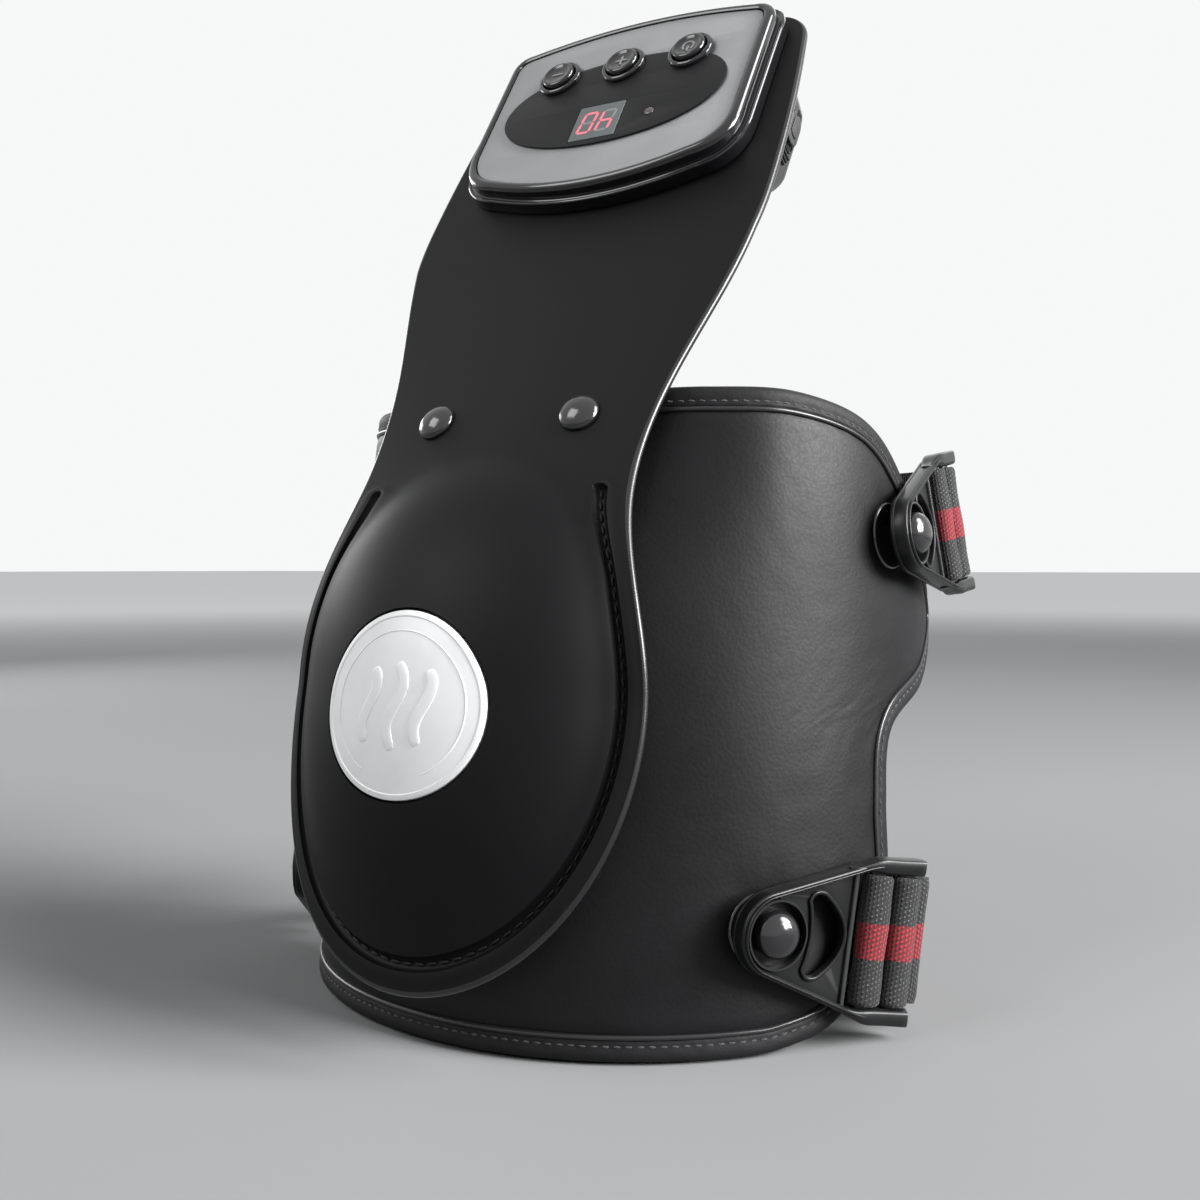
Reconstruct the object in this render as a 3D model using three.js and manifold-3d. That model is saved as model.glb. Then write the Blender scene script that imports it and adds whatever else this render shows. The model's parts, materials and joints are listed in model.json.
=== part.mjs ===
// Heated leg massager. A padded leather wrap goes round the knee and is closed behind it by two
// elastic straps. A moulded tongue stands on its front: the massage dome below, riveted to the
// wrap at its waist, and a flexible flap above that carries the controls and, behind, the battery.
// Millimetres, +Z up. The dome faces -Y and the wrap opens to +Y.
import * as THREE from 'three';
import { mergeVertices } from 'three/addons/utils/BufferGeometryUtils.js';
import Module from 'manifold-3d';

const wasm = await Module();
wasm.setup();

// Clearances
const SEAT_GAP = 0.3;
const SLIDE_GAP = 0.35;

// Wrap: a leaning cone, measured on its outer face
const WRAP_RADIUS = 108.5;
const WRAP_TAPER = 0.0005;
const WRAP_LEAN = 0.1363;
const WRAP_FRONT_Y = -71.3;
const WRAP_HEIGHT = 193;
const COLUMNS = 22;
const ROWS = 14;
const LEATHER_THICKNESS = 3;
const FILM_SPACE = 2.2;
const LINING_THICKNESS = 2.2;
const WRAP_TUCK = 16;
const WRAP_TOP_DIP = 4;
const STUD_FLANGE_RADIUS = 6;
const BINDING_THICKNESS = 0.9;
const BINDING_WIDTH = 5.5;
const FILM_THICKNESS = 0.8;

// Wing outline, as arc lengths from the front and heights
const HEM_HALF = 98;
const TOP_HALF = 96;
const NOTCH_REACH = 146;
const NOTCH_HEIGHT = 66;
const LOBE_REACH = 203;
const LOBE_HEIGHT = 122;

// Tongue: its centre line leans back, bends at the waist and runs on straight
const TONGUE_FOOT_Y = -93.8;
const TONGUE_FOOT_Z = 19.3;
const TONGUE_LOWER_LEAN = 10.6;
const TONGUE_UPPER_LEAN = 33.3;
const TONGUE_BEND_START = 93.2;
const TONGUE_BEND_LENGTH = 56.3;
const TONGUE_LENGTH = 356;
const TONGUE_THICKNESS = 4.6;
const TONGUE_WRAP_RADIUS = 157.7;
const TONGUE_EDGE_ROUND = 1.3;
const DOME_HALF_WIDTH = 66.2;
const DOME_WIDEST_AT = 82;
const WAIST_HALF_WIDTH = 51;
const WAIST_AT = 165;
const FLAP_HALF_WIDTH = 68.5;
const FLAP_FULL_AT = 268;
const FLAP_TOP_HALF_WIDTH = 62;
const FLAP_CORNER_RADIUS = 13;
const FLAP_TOP_BOW = 8;
const FLEX_START = 195;
const FLEX_LENGTH = 62;

// Massage dome
const DOME_HEIGHT = 15.5;
const DOME_AT = 86;
const DOME_HALF_LENGTH = 74;
const DOME_HALF_SPAN = 55;
const GROOVE_RADIUS = 1.7;
const GROOVE_MARGIN = 7.2;
const GROOVE_END = 150;
const BADGE_RADIUS = 26;
const BADGE_THICKNESS = 2.4;
const BADGE_AT = 79.5;
const BADGE_SINK = 2.6;

// Massage module behind the dome
const TRAY_HALF_LENGTH = 56;
const TRAY_HALF_WIDTH = 42;
const TRAY_DRAFT = 0.82;
const TRAY_WALL = 2.4;
const MOTOR_RADIUS = 12;
const MOTOR_HEIGHT = 13;
const MOTOR_FOOT = 2.4;
const MOTOR_SPACING = 46;
const CARRIER_THICKNESS = 2.2;

// Waist rivets
const RIVET_AT = 177;
const RIVET_SPAN = 54;
const RIVET_HEAD_RADIUS = 6.6;
const RIVET_SHANK_RADIUS = 2.4;

// Control housing, on the flap
const PANEL_AT = 316;
const PLATE_HALF_WIDTH = 52;
const PLATE_HALF_HEIGHT = 33;
const PLATE_BOW_TOP = 5.5;
const PLATE_BOW_BOTTOM = 10;
const PLATE_CORNER = 6;
const PLATE_LOWER_CORNER = 12;
const PLATE_THICKNESS = 1.2;
const HOUSING_MARGIN = 5;
const HOUSING_STEP = 2.2;
const HOUSING_HEIGHT = 9.4;
const HOUSING_STEP_HEIGHT = 5.4;
const HOUSING_WALL = 2;
const OVERLAY_HALF_WIDTH = 45;
const OVERLAY_TOP = 19;
const OVERLAY_BOTTOM = 25.5;
const OVERLAY_THICKNESS = 0.7;
const BUTTON_RADIUS = 6.3;
const BUTTON_RISE = 2.7;
const BUTTON_TRAVEL = 1;
const BUTTON_PITCH = 27;
const BUTTON_ROW = 14.5;
const COLLAR_WALL = 1.9;
const COLLAR_HEIGHT = 1.9;
const DISPLAY_WIDTH = 18.6;
const DISPLAY_HEIGHT = 17.6;
const DISPLAY_ROW = -14;
const DISPLAY_OFFSET = -2.2;
const LED_RADIUS = 1.9;
const LED_OFFSET = 18.6;
const BOARD_THICKNESS = 1.6;

// Battery housing, behind the flap
const BATTERY_HALF_WIDTH = 61;
const BATTERY_HALF_HEIGHT = 31;
const BATTERY_DEPTH = 17;
const BATTERY_ROW = -15;
const BATTERY_SLOPE = 17;
const BATTERY_WALL = 2;
const CELL_RADIUS = 6.2;
const CELL_LENGTH = 66;
const SCREW_HEAD_RADIUS = 2.9;
const SCREW_SHANK_RADIUS = 1.5;
const SCREW_ACROSS = 90;
const SCREW_ROWS = [-20, 8];
const PORT_WIDTH = 13;
const PORT_HEIGHT = 8;
const PORT_COVER_THICKNESS = 1.8;

// Buckles and straps
const WEBBING_WIDTH = 38;
const WEBBING_THICKNESS = 1.8;
const STRAP_LAP = 0.07;
const STRAP_SPLIT = 0.2;
const STRAP_REST_HEIGHT = 18.2;
const STUD_STANDOFF = 10;
const STUD_CAP_RADIUS = 6.9;
const STUD_NECK_RADIUS = 3.1;
const STUD_BASE_RADIUS = 11;
const BUCKLE_APEX_RADIUS = 12.4;
const BUCKLE_FLARE_START = 26;
const BUCKLE_LENGTH = 50;
const BUCKLE_HALF_WIDTH = 24;
const BUCKLE_FLOOR = 1.8;
const BUCKLE_HEIGHT = 6.4;
const BUCKLE_WALL = 2;
const BAR_WIDTH = 6.2;
const BAR_HEIGHT = 3.4;
const BAR_PITCH = 10.6;

// Where the four studs sit on the wrap, how the buckles lie on them and how the straps hang.
// The lower strap hangs to the floor behind the leg, and the wrap leans on its lower edge
const BUCKLE_SITES = [
  {
    level: 'lower', reach: 94.8, height: 34, yaw: 8, pitch: 5.5, roll: -9, sag: 39,
    hang: STRAP_REST_HEIGHT,
  },
  { level: 'upper', reach: 152.5, height: 149, yaw: 9, pitch: -3.5, roll: 7, sag: 30 },
];
const SIDES = [
  { side: 'right', sign: 1 },
  { side: 'left', sign: -1 },
];

const deg = THREE.MathUtils.degToRad;
const v3 = (x, y, z) => new THREE.Vector3(x, y, z);
const lerp = THREE.MathUtils.lerp;
const smooth = (x) => THREE.MathUtils.smoothstep(x, 0, 1);

// Materials
const paint = (color, roughness, metalness = 0) =>
  new THREE.MeshStandardMaterial({ color, roughness, metalness });
const leather = paint(0x1d1d1f, 0.45);
const lining = paint(0x26262a, 0.95);
const binding = paint(0x151517, 0.7);
const moulding = paint(0x18181a, 0.62);
const glossBlack = paint(0x0b0b0c, 0.16);
const satinBlack = paint(0x121214, 0.38);
const silver = paint(0xb9bbbe, 0.34, 0.6);
const badgeSilver = paint(0xdcdee0, 0.3, 0.55);
const overlayBlack = paint(0x1a1b1e, 0.3);
const webbing = paint(0x161617, 0.9);
const steel = paint(0x8f9296, 0.3, 1);
const boardGreen = paint(0x1f4a33, 0.6);
const filmBrown = paint(0x6e3c1c, 0.5);
const displayGlass = paint(0x5f6468, 0.15);
const ledRed = paint(0xb23338, 0.2);
const cellBlue = paint(0x2c4f7c, 0.5);

// Welds a geometry into one closed surface whose faces point out
function weld(geometry) {
  const bare = new THREE.BufferGeometry();
  bare.setAttribute('position', geometry.attributes.position.clone());
  if (geometry.index) bare.setIndex(geometry.index.clone());
  const merged = mergeVertices(bare, 1e-4);
  const position = merged.attributes.position;
  const triangles = [];
  let volume = 0;
  const a = v3(0, 0, 0);
  const b = v3(0, 0, 0);
  const c = v3(0, 0, 0);
  for (let k = 0; k < merged.index.count; k += 3) {
    const [i, j, l] = [merged.index.getX(k), merged.index.getX(k + 1), merged.index.getX(k + 2)];
    if (i === j || j === l || l === i) continue;
    triangles.push(i, j, l);
    a.fromBufferAttribute(position, i);
    b.fromBufferAttribute(position, j);
    c.fromBufferAttribute(position, l);
    volume += a.dot(b.cross(c));
  }
  if (volume < 0) triangles.reverse();
  merged.setIndex(triangles);
  return merged;
}

function toSolid(geometry) {
  const g = weld(geometry);
  return new wasm.Manifold(new wasm.Mesh({
    numProp: 3,
    vertProperties: new Float32Array(g.attributes.position.array),
    triVerts: new Uint32Array(g.index.array),
  }));
}

function toGeometry(solid) {
  const mesh = solid.getMesh();
  const g = new THREE.BufferGeometry();
  g.setAttribute('position', new THREE.BufferAttribute(new Float32Array(mesh.vertProperties), 3));
  g.setIndex(new THREE.BufferAttribute(new Uint32Array(mesh.triVerts), 1));
  g.computeVertexNormals();
  return g;
}

function node(name, shape, material) {
  const geometry = shape.isBufferGeometry ? weld(shape) : toGeometry(shape);
  geometry.computeVertexNormals();
  const mesh = new THREE.Mesh(geometry, material);
  mesh.name = name;
  return mesh;
}

// A prism of a flat outline between two heights, with an optional bevelled rim
function prism(shape, low, high, bevel = 0, curveSegments = 4) {
  const geometry = new THREE.ExtrudeGeometry(shape, {
    depth: high - low - 2 * bevel,
    curveSegments,
    bevelEnabled: bevel > 0,
    bevelSize: bevel,
    bevelOffset: -bevel,
    bevelThickness: bevel,
    bevelSegments: 1,
  });
  geometry.translate(0, 0, low + bevel);
  return geometry;
}

// A turned piece about its own Z axis, from pairs of radius and height
function turned(profile, segments = 20) {
  const points = profile.map(([r, h]) => new THREE.Vector2(r, h));
  return new THREE.LatheGeometry(points, segments).rotateX(Math.PI / 2);
}

function rod(radius, low, high, segments = 16) {
  const g = new THREE.CylinderGeometry(radius, radius, high - low, segments);
  return g.rotateX(Math.PI / 2).translate(0, 0, (low + high) / 2);
}

function placed(geometry, x, y, z = 0) {
  return geometry.translate(x, y, z);
}

function block(width, depth, low, high) {
  return new THREE.BoxGeometry(width, depth, high - low).translate(0, 0, (low + high) / 2);
}

function cut(base, tools) {
  return tools.reduce((solid, tool) => solid.subtract(toSolid(tool)), base);
}

function join(base, tools) {
  return tools.reduce((solid, tool) => solid.add(toSolid(tool)), base);
}

function circle(radius, x = 0, y = 0) {
  const path = new THREE.Path();
  path.absarc(x, y, radius, 0, 2 * Math.PI, true);
  return path;
}

// Closed surface through a stack of loops, closed by a fan at each end, or back on itself
function loopSolid(loops, ring = false) {
  const n = loops[0].length;
  const positions = [];
  const index = [];
  loops.forEach((loop) => loop.forEach((p) => positions.push(p.x, p.y, p.z)));
  const pairs = ring ? loops.length : loops.length - 1;
  for (let k = 0; k < pairs; k += 1) {
    const next = (k + 1) % loops.length;
    for (let i = 0; i < n; i += 1) {
      const j = (i + 1) % n;
      index.push(k * n + i, k * n + j, next * n + j);
      index.push(k * n + i, next * n + j, next * n + i);
    }
  }
  const fan = (k, flip) => {
    const middle = loops[k].reduce((sum, p) => sum.add(p), v3(0, 0, 0)).divideScalar(n);
    const hub = positions.length / 3;
    positions.push(middle.x, middle.y, middle.z);
    for (let i = 0; i < n; i += 1) {
      const j = (i + 1) % n;
      if (flip) index.push(hub, k * n + j, k * n + i);
      else index.push(hub, k * n + i, k * n + j);
    }
  };
  if (!ring) {
    fan(0, true);
    fan(loops.length - 1, false);
  }
  const g = new THREE.BufferGeometry();
  g.setAttribute('position', new THREE.Float32BufferAttribute(positions, 3));
  g.setIndex(index);
  return g;
}

// A sheet with a rounded rim: point(i, j, depth) gives its face at a depth below the front
function sheetSolid(point, columns, rows, thickness, rim) {
  const id = (i, j) => j * (columns + 1) + i;
  const count = (columns + 1) * (rows + 1);
  const inner = (i, n) => Math.min(Math.max(i, 1), n - 1);
  const positions = [];
  const face = (depth) => {
    for (let j = 0; j <= rows; j += 1) {
      for (let i = 0; i <= columns; i += 1) {
        const p = point(i, j, depth);
        const q = point(inner(i, columns), inner(j, rows), depth);
        const step = q.clone().sub(p);
        if (step.length() > rim) p.add(step.setLength(rim));
        positions.push(p.x, p.y, p.z);
      }
    }
  };
  face(0);
  face(thickness);
  const border = [];
  for (let i = 0; i < columns; i += 1) border.push([i, 0]);
  for (let j = 0; j < rows; j += 1) border.push([columns, j]);
  for (let i = columns; i > 0; i -= 1) border.push([i, rows]);
  for (let j = rows; j > 0; j -= 1) border.push([0, j]);
  const waist = positions.length / 3;
  [0.3, 0.7].forEach((share) => border.forEach(([i, j]) => {
    const p = point(i, j, thickness * share);
    positions.push(p.x, p.y, p.z);
  }));
  const index = [];
  for (let j = 0; j < rows; j += 1) {
    for (let i = 0; i < columns; i += 1) {
      const [a, b, c, d] = [id(i, j), id(i + 1, j), id(i + 1, j + 1), id(i, j + 1)];
      index.push(a, b, c, a, c, d);
      index.push(count + a, count + c, count + b, count + a, count + d, count + c);
    }
  }
  const n = border.length;
  const rings = [
    border.map(([i, j]) => id(i, j)),
    border.map((_, k) => waist + k),
    border.map((_, k) => waist + n + k),
    border.map(([i, j]) => count + id(i, j)),
  ];
  for (let r = 0; r < 3; r += 1) {
    for (let k = 0; k < n; k += 1) {
      const m = (k + 1) % n;
      index.push(rings[r][k], rings[r + 1][k], rings[r + 1][m]);
      index.push(rings[r][k], rings[r + 1][m], rings[r][m]);
    }
  }
  const g = new THREE.BufferGeometry();
  g.setAttribute('position', new THREE.Float32BufferAttribute(positions, 3));
  g.setIndex(index);
  return g;
}

// The wrap's outer face at an arc length from the front, a height and a depth below the face
function wrapPoint(t, z, depth = 0) {
  const radius = WRAP_RADIUS * (1 - WRAP_TAPER * z);
  const angle = t / WRAP_RADIUS;
  const tuckAcross = 1 - smooth((Math.abs(t) - 18) / 84);
  const tuckUp = smooth((z - 126) / 66);
  const r = radius - depth - WRAP_TUCK * tuckAcross * tuckUp;
  const centre = WRAP_FRONT_Y + WRAP_LEAN * z + radius;
  return v3(r * Math.sin(angle), centre - r * Math.cos(angle), z);
}

// Right wing's edge from the hem up over the notch and the upper lobe to the top edge
const wingEdge = new THREE.CatmullRomCurve3([
  v3(HEM_HALF, 0, 0),
  v3(HEM_HALF + 22, 5, 0),
  v3(NOTCH_REACH - 8, 21, 0),
  v3(NOTCH_REACH, 44, 0),
  v3(NOTCH_REACH, NOTCH_HEIGHT, 0),
  v3(NOTCH_REACH + 4, NOTCH_HEIGHT + 22, 0),
  v3(lerp(NOTCH_REACH, LOBE_REACH, 0.62), LOBE_HEIGHT - 20, 0),
  v3(LOBE_REACH, LOBE_HEIGHT, 0),
  v3(LOBE_REACH - 18, LOBE_HEIGHT + 22, 0),
  v3(LOBE_REACH - 40, WRAP_HEIGHT - 25, 0),
  v3(LOBE_REACH - 62, WRAP_HEIGHT - 9, 0),
  v3(TOP_HALF + 12, WRAP_HEIGHT - 1, 0),
  v3(TOP_HALF - 22, WRAP_HEIGHT, 0),
], false, 'centripetal');

// A row of the wrap runs from wing edge to wing edge; v goes from the hem, 0, to the top, 1
function wrapParam(q, v) {
  const edge = wingEdge.getPointAt(v);
  const middle = v * (WRAP_HEIGHT - WRAP_TOP_DIP);
  const z = lerp(middle, edge.y, smooth(Math.abs(q) * 1.15));
  return [q * edge.x, z];
}

function wrapSheet(top, thickness, rim) {
  return sheetSolid((i, j, depth) => {
    const [t, z] = wrapParam((2 * i) / COLUMNS - 1, j / ROWS);
    return wrapPoint(t, z, top + depth);
  }, COLUMNS, ROWS, thickness, rim);
}

// Folded binding over the wrap's raw edge: a channel section carried round the outline
function bindingStations() {
  const list = [];
  const put = (q, v) => list.push(wrapParam(q, v));
  for (let i = 0; i < COLUMNS; i += 1) put((2 * i) / COLUMNS - 1, 0);
  for (let j = 0; j < ROWS; j += 1) put(1, j / ROWS);
  for (let i = COLUMNS; i > 0; i -= 1) put((2 * i) / COLUMNS - 1, 1);
  for (let j = ROWS; j > 0; j -= 1) put(-1, j / ROWS);
  return list;
}

function edgeBinding() {
  const list = bindingStations();
  const n = list.length;
  const [reach, front] = [1.4 * SEAT_GAP, -4 * SEAT_GAP];
  const back = LEATHER_THICKNESS + FILM_SPACE + LINING_THICKNESS + 6 * SEAT_GAP;
  const b = BINDING_THICKNESS;
  const section = [
    [-BINDING_WIDTH, front - b], [reach + b, front - b], [reach + b, back + b],
    [-BINDING_WIDTH, back + b], [-BINDING_WIDTH, back], [reach, back], [reach, front],
    [-BINDING_WIDTH, front],
  ];
  const loops = list.map(([t, z], k) => {
    const [t0, z0] = list[(k + n - 1) % n];
    const [t1, z1] = list[(k + 1) % n];
    const along = new THREE.Vector2(t1 - t0, z1 - z0).normalize();
    const out = new THREE.Vector2(along.y, -along.x);
    return section.map(([span, depth]) => wrapPoint(t + out.x * span, z + out.y * span, depth));
  });
  return loopSolid(loops, true);
}

// The tongue's centre line, and its lean from the vertical, at an arc length from its foot
function tongueAt(s) {
  const low = deg(TONGUE_LOWER_LEAN);
  const high = deg(TONGUE_UPPER_LEAN);
  const turn = (high - low) / TONGUE_BEND_LENGTH;
  const first = Math.min(s, TONGUE_BEND_START);
  const bent = THREE.MathUtils.clamp(s - TONGUE_BEND_START, 0, TONGUE_BEND_LENGTH);
  const last = Math.max(s - TONGUE_BEND_START - TONGUE_BEND_LENGTH, 0);
  const lean = low + turn * bent;
  const y = TONGUE_FOOT_Y + first * Math.sin(low)
    + (Math.cos(low) - Math.cos(lean)) / turn + last * Math.sin(high);
  const z = TONGUE_FOOT_Z + first * Math.cos(low)
    + (Math.sin(lean) - Math.sin(low)) / turn + last * Math.cos(high);
  return { y, z, lean };
}

function tonguePoint(s, u, h = 0) {
  const { y, z, lean } = tongueAt(s);
  const flatten = THREE.MathUtils.clamp((s - 86) / 164, 0, 1);
  const curvature = lerp(1 / TONGUE_WRAP_RADIUS, 1e-5, flatten);
  const angle = u * curvature;
  const x = Math.sin(angle) / curvature + h * Math.sin(angle);
  const off = h * Math.cos(angle) - (1 - Math.cos(angle)) / curvature;
  return v3(x, y - Math.cos(lean) * off, z + Math.sin(lean) * off);
}

function tongueHalfWidth(s) {
  if (s < WAIST_AT) {
    const fall = (1 + Math.cos((Math.PI * (s - DOME_WIDEST_AT)) / (WAIST_AT - DOME_WIDEST_AT))) / 2;
    return s < DOME_WIDEST_AT ? DOME_HALF_WIDTH : lerp(WAIST_HALF_WIDTH, DOME_HALF_WIDTH, fall);
  }
  const rise = THREE.MathUtils.clamp((s - WAIST_AT) / (FLAP_FULL_AT - WAIST_AT), 0, 1);
  const flare = lerp(WAIST_HALF_WIDTH, FLAP_HALF_WIDTH, (1 - Math.cos(Math.PI * rise)) / 2);
  const taper = THREE.MathUtils.clamp((s - FLAP_FULL_AT) / (TONGUE_LENGTH - FLAP_FULL_AT), 0, 1);
  const corner = Math.max(s - (TONGUE_LENGTH - FLAP_CORNER_RADIUS), 0);
  const round = FLAP_CORNER_RADIUS - Math.sqrt(Math.max(FLAP_CORNER_RADIUS ** 2 - corner ** 2, 0));
  return flare - taper * taper * (FLAP_HALF_WIDTH - FLAP_TOP_HALF_WIDTH) - round;
}

function domeRise(s, u) {
  const rho = ((s - DOME_AT) / DOME_HALF_LENGTH) ** 2 + (u / DOME_HALF_SPAN) ** 2;
  return rho < 1 ? DOME_HEIGHT * (1 - rho) ** 0.78 : 0;
}

// Columns gather towards the rim, where the groove and the dome's foot are
const spread = (i, columns) => Math.sin(((i / columns) - 0.5) * Math.PI * 0.94) / Math.sin(Math.PI * 0.47);

// Lower part of the tongue: an oval dish whose first rows follow the round foot
function domeParam(i, j, columns, rows) {
  const cornerShare = 0.7;
  const footHalf = DOME_HALF_WIDTH * cornerShare;
  const arc = (u) => DOME_WIDEST_AT * (1 - Math.sqrt(1 - (u / DOME_HALF_WIDTH) ** 2));
  const cornerS = arc(footHalf);
  const q = spread(i, columns);
  const v = j / rows;
  const edgeS = lerp(cornerS, FLEX_START, v ** 1.06);
  const half = edgeS < DOME_WIDEST_AT
    ? DOME_HALF_WIDTH * Math.sqrt(1 - ((DOME_WIDEST_AT - edgeS) / DOME_WIDEST_AT) ** 2)
    : tongueHalfWidth(edgeS);
  const dip = cornerS * (1 - smooth(v * 1.6));
  return [edgeS - dip * (1 - arc(q * footHalf) / cornerS), q * half];
}

function groovePath() {
  const foot = GROOVE_MARGIN + 1.8;
  const arm = (s) => {
    const lowHalf = DOME_HALF_WIDTH - GROOVE_MARGIN;
    const drop = DOME_WIDEST_AT - foot;
    const inOval = lowHalf * Math.sqrt(Math.max(1 - ((DOME_WIDEST_AT - s) / drop) ** 2, 0));
    const inWaist = tongueHalfWidth(s) - GROOVE_MARGIN - 3 * smooth((s - 120) / 30);
    return s < DOME_WIDEST_AT ? inOval : inWaist;
  };
  const half = [];
  for (let k = 0; k <= 16; k += 1) {
    const a = (k / 16) * (Math.PI / 2);
    const s = k === 0 ? foot : lerp(foot, GROOVE_END, 1 - Math.cos(a));
    half.push([s, arm(s)]);
  }
  const points = [
    ...half.slice(1).reverse().map(([s, u]) => tonguePoint(s, -u, 0.1)),
    ...half.map(([s, u]) => tonguePoint(s, u, 0.1)),
  ];
  return new THREE.CatmullRomCurve3(points);
}

function hexagon(radius, sides = 6) {
  const shape = new THREE.Shape();
  for (let k = 0; k <= sides; k += 1) {
    const a = (2 * Math.PI * (k + 0.5)) / sides;
    if (k === 0) shape.moveTo(radius * Math.cos(a), radius * Math.sin(a));
    else shape.lineTo(radius * Math.cos(a), radius * Math.sin(a));
  }
  return shape;
}

// Moves a piece drawn about Z into the tongue's frame: x across, y up the tongue, z out of it
function onTongue(geometry, s, u, h = 0) {
  const origin = tonguePoint(s, u, h);
  const across = tonguePoint(s, u + 0.5, h).sub(tonguePoint(s, u - 0.5, h)).normalize();
  const up = tonguePoint(s + 0.5, u, h).sub(tonguePoint(s - 0.5, u, h)).normalize();
  const out = across.clone().cross(up).normalize();
  const basis = new THREE.Matrix4().makeBasis(across, out.clone().cross(across), out);
  return geometry.applyMatrix4(basis.setPosition(origin));
}

// Moves a piece drawn about Z onto the wrap: x round the leg, y up, z out of the leather
function wrapBasis(t, z, sign) {
  const round = wrapPoint(t + 0.5, z).sub(wrapPoint(t - 0.5, z)).normalize();
  const up = wrapPoint(t, z + 0.5).sub(wrapPoint(t, z - 0.5)).normalize();
  const out = round.clone().cross(up).normalize();
  const origin = wrapPoint(t, z);
  if (sign < 0) [round, out, origin].forEach((p) => p.setX(-p.x));
  const rise = out.clone().cross(round);
  return new THREE.Matrix4().makeBasis(round, rise, out).setPosition(origin);
}

const model = new THREE.Group();
const add = (...meshes) => model.add(...meshes);

// Wrap, lining, heating films and binding
const shankHoles = [];
BUCKLE_SITES.forEach(({ reach, height }) => SIDES.forEach(({ sign }) => {
  const hole = rod(STUD_NECK_RADIUS + SEAT_GAP, -LEATHER_THICKNESS - 1, 2, 12);
  shankHoles.push(hole.applyMatrix4(wrapBasis(reach, height, sign)));
}));
const rivetSites = SIDES.map(({ side, sign }) => ({ side, u: (sign * RIVET_SPAN) / 2 }));
const rivetReach = 24;
const rivetHoles = rivetSites.map(({ u }) =>
  onTongue(rod(RIVET_SHANK_RADIUS + SEAT_GAP, -rivetReach, 6, 10), RIVET_AT, u));

const wrapOuter = toSolid(wrapSheet(0, LEATHER_THICKNESS, 0.8));
const liningDepth = LEATHER_THICKNESS + FILM_SPACE;
const wrapLining = toSolid(wrapSheet(liningDepth, LINING_THICKNESS, 0.6));
add(
  node('wrap_leather', cut(wrapOuter, [...shankHoles, ...rivetHoles]), leather),
  node('wrap_lining', cut(wrapLining, rivetHoles), lining),
  node('wrap_binding', edgeBinding(), binding),
);
const filmDepth = LEATHER_THICKNESS + (FILM_SPACE - FILM_THICKNESS) * 0.62;
SIDES.forEach(({ side, sign }) => {
  const film = sheetSolid((i, j, depth) => {
    const t = sign * lerp(30, HEM_HALF + 20, (sign > 0 ? i : 8 - i) / 8);
    return wrapPoint(t, lerp(56, 124, j / 2), filmDepth + depth);
  }, 8, 2, FILM_THICKNESS, 0.2);
  add(node(`heating_film_${side}`, film, filmBrown));
});

// Dome shell with its stitched groove, badge seat and rivet holes
const domeSheet = sheetSolid((i, j, depth) => {
  const [s, u] = domeParam(i, j, 16, 16);
  return tonguePoint(s, u, domeRise(s, u) - depth);
}, 16, 16, TONGUE_THICKNESS, TONGUE_EDGE_ROUND);
const groove = new THREE.ExtrudeGeometry(hexagon(GROOVE_RADIUS), {
  steps: 26,
  bevelEnabled: false,
  extrudePath: groovePath(),
});
const crown = domeRise(BADGE_AT, 0);
const badgeSeat = onTongue(rod(BADGE_RADIUS + SEAT_GAP, -BADGE_SINK, 14, 32), BADGE_AT, 0, crown);
add(node('dome_shell', cut(toSolid(domeSheet), [groove, badgeSeat, ...rivetHoles]), moulding));

const badgeLow = SEAT_GAP - BADGE_SINK;
const badgeTop = badgeLow + BADGE_THICKNESS;
const badge = turned([
  [0, badgeLow], [BADGE_RADIUS, badgeLow], [BADGE_RADIUS, badgeTop - 0.7],
  [BADGE_RADIUS - 0.8, badgeTop], [BADGE_RADIUS - 2.2, badgeTop],
  [BADGE_RADIUS - 2.8, badgeTop - 0.4], [0, badgeTop - 0.4],
], 32);
add(node('badge_disc', onTongue(badge, BADGE_AT, 0, crown), badgeSilver));

// Flexing length of the tongue and the flap above it
const flexEnd = FLEX_START + FLEX_LENGTH;
const tongueBand = (from, to, columns, rows) => sheetSolid((i, j, depth) => {
  const s = lerp(from, to, j / rows);
  return tonguePoint(s, spread(i, columns) * tongueHalfWidth(s), -depth);
}, columns, rows, TONGUE_THICKNESS, TONGUE_EDGE_ROUND);
add(node('tongue_flex', tongueBand(FLEX_START + SEAT_GAP, flexEnd - SEAT_GAP, 8, 8), moulding));

const flapSheet = sheetSolid((i, j, depth) => {
  const t = j / 10;
  const cornerStart = TONGUE_LENGTH - FLAP_CORNER_RADIUS;
  const edgeS = t < 0.5
    ? lerp(flexEnd, cornerStart, t * 2)
    : cornerStart + FLAP_CORNER_RADIUS * Math.sin((t - 0.5) * Math.PI) * 0.985;
  const q = spread(i, 8);
  const bow = FLAP_TOP_BOW * (1 - q * q) * smooth((t - 0.3) / 0.7);
  return tonguePoint(edgeS + bow, q * tongueHalfWidth(edgeS), -depth);
}, 8, 10, TONGUE_THICKNESS, TONGUE_EDGE_ROUND);
const screwSites = [-1, 1].flatMap((a) => SCREW_ROWS.map((y) => [(a * SCREW_ACROSS) / 2, y]));
const flapHoles = screwSites.map(([x, y]) =>
  onTongue(placed(rod(SCREW_SHANK_RADIUS + 0.4, -8, 3, 10), x, y), PANEL_AT, 0));
add(node('flap_panel', cut(toSolid(flapSheet), flapHoles), moulding));

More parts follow.
